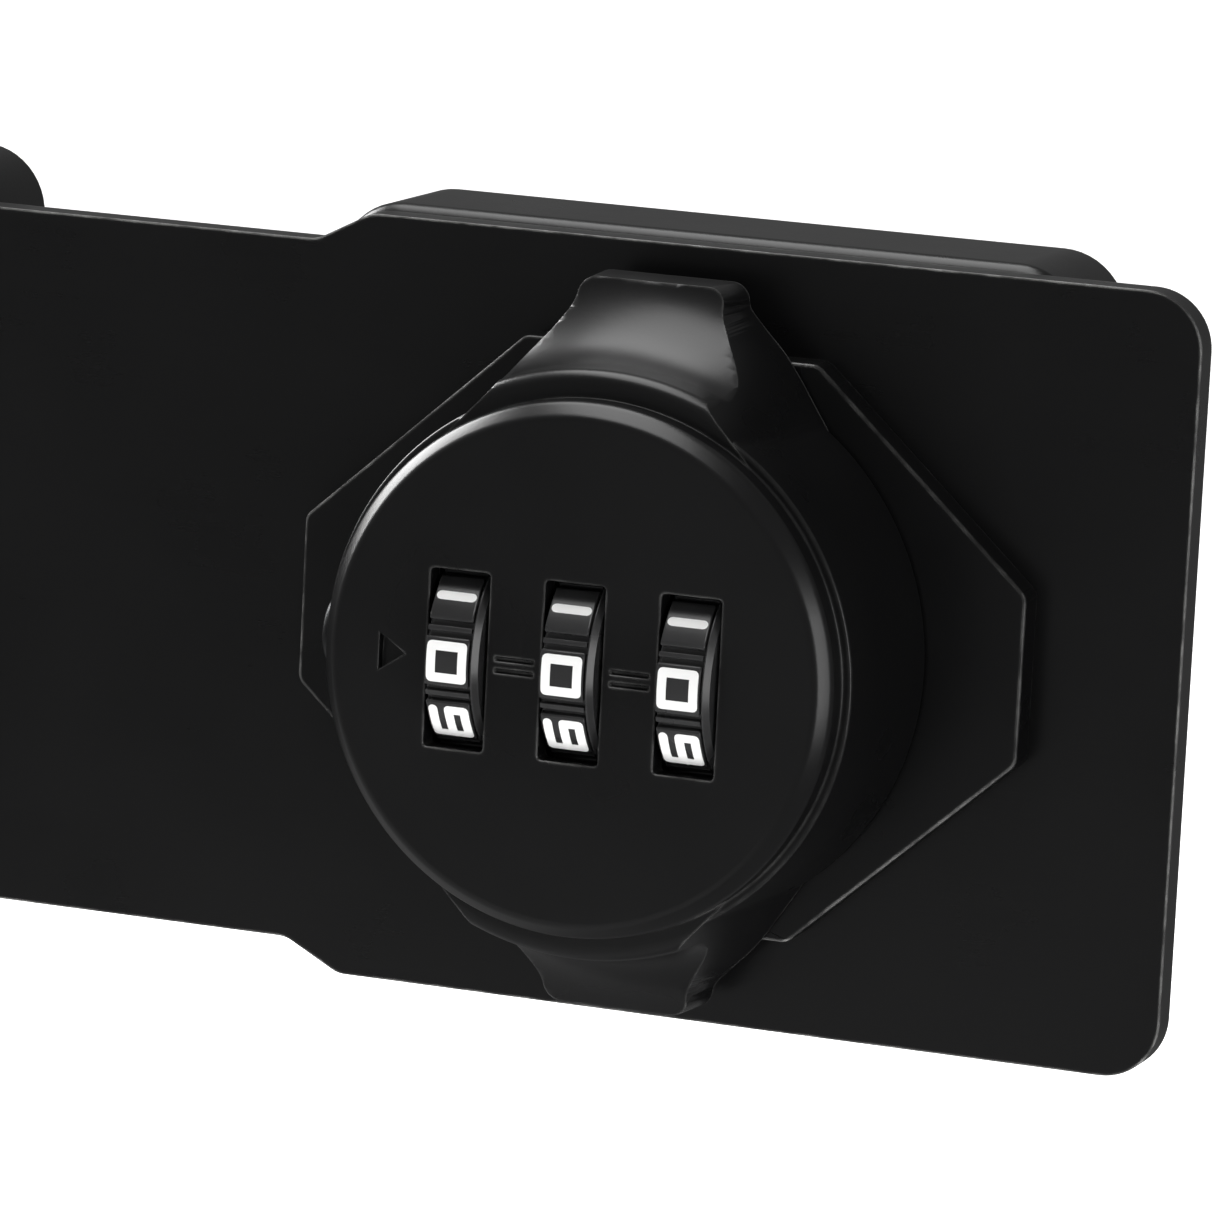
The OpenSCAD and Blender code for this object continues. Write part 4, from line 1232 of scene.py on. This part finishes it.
class HASP_OT_inner_metal(bpy.types.Operator):
    """Gives the turned and stamped parts inside the lock their metal finishes"""
    bl_idname = "hasp_lock.inner_metal"
    bl_label = "Inner Metal"

    def execute(self, context):
        finish_of = {"steel": "steel", "dark_steel": "dark_steel", "spring_steel": "spring",
                     "brass": "brass"}
        for row in frame["record"]["subparts"]:
            obj, finish = frame["nodes"][row["node"]], finish_of.get(row["material_slot"])
            if finish and not obj.hide_render:
                obj.data.materials.clear()
                obj.data.materials.append(materials[finish])
        return {"FINISHED"}


# ---- Stage ---------------------------------------------------------------------------------

AIM = (0, -0.015, 0)
CAMERA_SENSOR = 36                           # millimetres
FILL = 0.155                                 # strength of the white all round, on the lock
# Each soft light: name, place, width, height, and power at a key light of 1
LIGHTS = (("top", (-0.10, -0.04, 0.50), 0.60, 0.30, 2.3),
          ("right", (0.50, -0.24, 0.00), 0.16, 0.34, 0.75),
          ("left", (-0.46, 0.10, 0.22), 0.22, 0.34, 3.4),
          ("below", (-0.05, -0.05, -0.072), 0.22, 0.10, 0.012))


def soft_light(name, place, aim, width, height, power):
    """A soft rectangular light that looks at a point"""
    data = bpy.data.lights.new(name, "AREA")
    data.shape, data.size, data.size_y, data.energy = "RECTANGLE", width, height, power
    obj = bpy.data.objects.new(name, data)
    bpy.context.scene.collection.objects.link(obj)
    obj.location = place
    obj.rotation_euler = (Vector(aim) - Vector(place)).to_track_quat("-Z", "Y").to_euler()
    return obj


def white_world(strength, fill):
    """Even white behind the lock, and a quieter light from all round on it"""
    world = bpy.data.worlds.new("studio")
    world.use_nodes = True
    tree = world.node_tree
    tree.nodes.clear()
    seen = tree.nodes.new("ShaderNodeLightPath").outputs["Is Camera Ray"]
    behind = node(tree, "ShaderNodeBackground", {"Color": (1, 1, 1, 1), "Strength": strength})
    around = node(tree, "ShaderNodeBackground", {"Color": (1, 1, 1, 1), "Strength": fill})
    mix = node(tree, "ShaderNodeMixShader", {0: seen, 1: around.outputs[0], 2: behind.outputs[0]})
    output = tree.nodes.new("ShaderNodeOutputWorld")
    tree.links.new(mix.outputs[0], output.inputs["Surface"])
    bpy.context.scene.world = world


def pale_floor():
    """A plain pale floor that curves up far behind the lock"""
    low, back, reach, bend_r = -0.075, 1.6, 2.2, 0.6
    line = [(-reach, low)] + [(back - bend_r + y, low + bend_r + z) for y, z in
                              arc(0, 0, bend_r, -90, 0, 16)] + [(back, 1.6)]
    bm = bmesh.new()
    rows = [[bm.verts.new((x, y, z)) for y, z in line] for x in (-reach, reach)]
    for i in range(len(line) - 1):
        bm.faces.new((rows[0][i], rows[1][i], rows[1][i + 1], rows[0][i + 1]))
    floor = smooth(as_object(bm, "floor"), 60)
    material, _, shader = new_material("pale_floor")
    shader.inputs["Base Color"].default_value = (0.93, 0.93, 0.93, 1)
    shader.inputs["Roughness"].default_value = 0.9
    shader.inputs["Emission Color"].default_value = (1, 1, 1, 1)
    shader.inputs["Emission Strength"].default_value = 0.75
    floor.data.materials.append(material)
    floor.visible_glossy = False


class HASP_OT_stage(bpy.types.Operator):
    """Sets the camera, the pale floor and the soft lights"""
    bl_idname = "hasp_lock.stage"
    bl_label = "Stage"

    def execute(self, context):
        scene = context.scene
        stage = scene.hasp_lock_stage
        a, e, roll = stage.azimuth, stage.elevation, stage.roll
        back = Vector((math.sin(a) * math.cos(e), -math.cos(a) * math.cos(e), math.sin(e)))
        right = Vector((math.cos(a), math.sin(a), 0))
        up = back.cross(right)
        turned_right = right * math.cos(roll) + up * math.sin(roll)
        turned_up = up * math.cos(roll) - right * math.sin(roll)
        data = bpy.data.cameras.new("camera")
        data.lens, data.sensor_width = stage.lens, CAMERA_SENSOR
        camera = bpy.data.objects.new("camera", data)
        scene.collection.objects.link(camera)
        place = Vector(stage.aim) + back * stage.distance
        axes = Matrix((turned_right, turned_up, back)).transposed().to_4x4()
        camera.matrix_world = Matrix.Translation(place) @ axes
        scene.camera = camera
        scene.view_settings.view_transform = "Standard"
        white_world(stage.sky, FILL)
        pale_floor()
        for name, place, width, height, power in LIGHTS:
            light = soft_light(name, place, AIM, width, height, power * stage.key_power)
            light.visible_camera = name != "below"
        return {"FINISHED"}


# ---- Panel and start --------------------------------------------------------------------------

OPERATORS = (HASP_OT_stage, HASP_OT_finishes, HASP_OT_plate, HASP_OT_bases, HASP_OT_flange,
             HASP_OT_knob, HASP_OT_wheels, HASP_OT_reset, HASP_OT_springs, HASP_OT_inner_metal)


class HASP_PT_panel(bpy.types.Panel):
    """The lock's pieces and sizes in the sidebar"""
    bl_idname = "HASP_PT_panel"
    bl_label = "Combination Hasp Lock"
    bl_space_type = "VIEW_3D"
    bl_region_type = "UI"
    bl_category = "Hasp Lock"

    def draw(self, context):
        layout = self.layout
        for group in (context.scene.hasp_lock_finish, context.scene.hasp_lock_sizes,
                      context.scene.hasp_lock_stage):
            box = layout.box()
            for name in group.bl_rna.properties.keys():
                if name not in ("rna_type", "name"):
                    box.prop(group, name)
        column = layout.column(align=True)
        for operator in OPERATORS:
            column.operator(operator.bl_idname)


GROUPS = {"hasp_lock_finish": HaspLockFinish, "hasp_lock_sizes": HaspLockSizes,
          "hasp_lock_stage": HaspLockStage}


def register():
    for cls in (*GROUPS.values(), *OPERATORS, HASP_PT_panel):
        bpy.utils.register_class(cls)
    for name, cls in GROUPS.items():
        setattr(bpy.types.Scene, name, PointerProperty(type=cls))


def unregister():
    for name in GROUPS:
        delattr(bpy.types.Scene, name)
    for cls in reversed((*GROUPS.values(), *OPERATORS, HASP_PT_panel)):
        bpy.utils.unregister_class(cls)


def main():
    """Builds the lock round the frame"""
    register()
    for step in OPERATORS:
        group, name = step.bl_idname.split(".")
        getattr(getattr(bpy.ops, group), name)()
    bpy.context.view_layer.update()


if __name__ == "__main__":
    main()
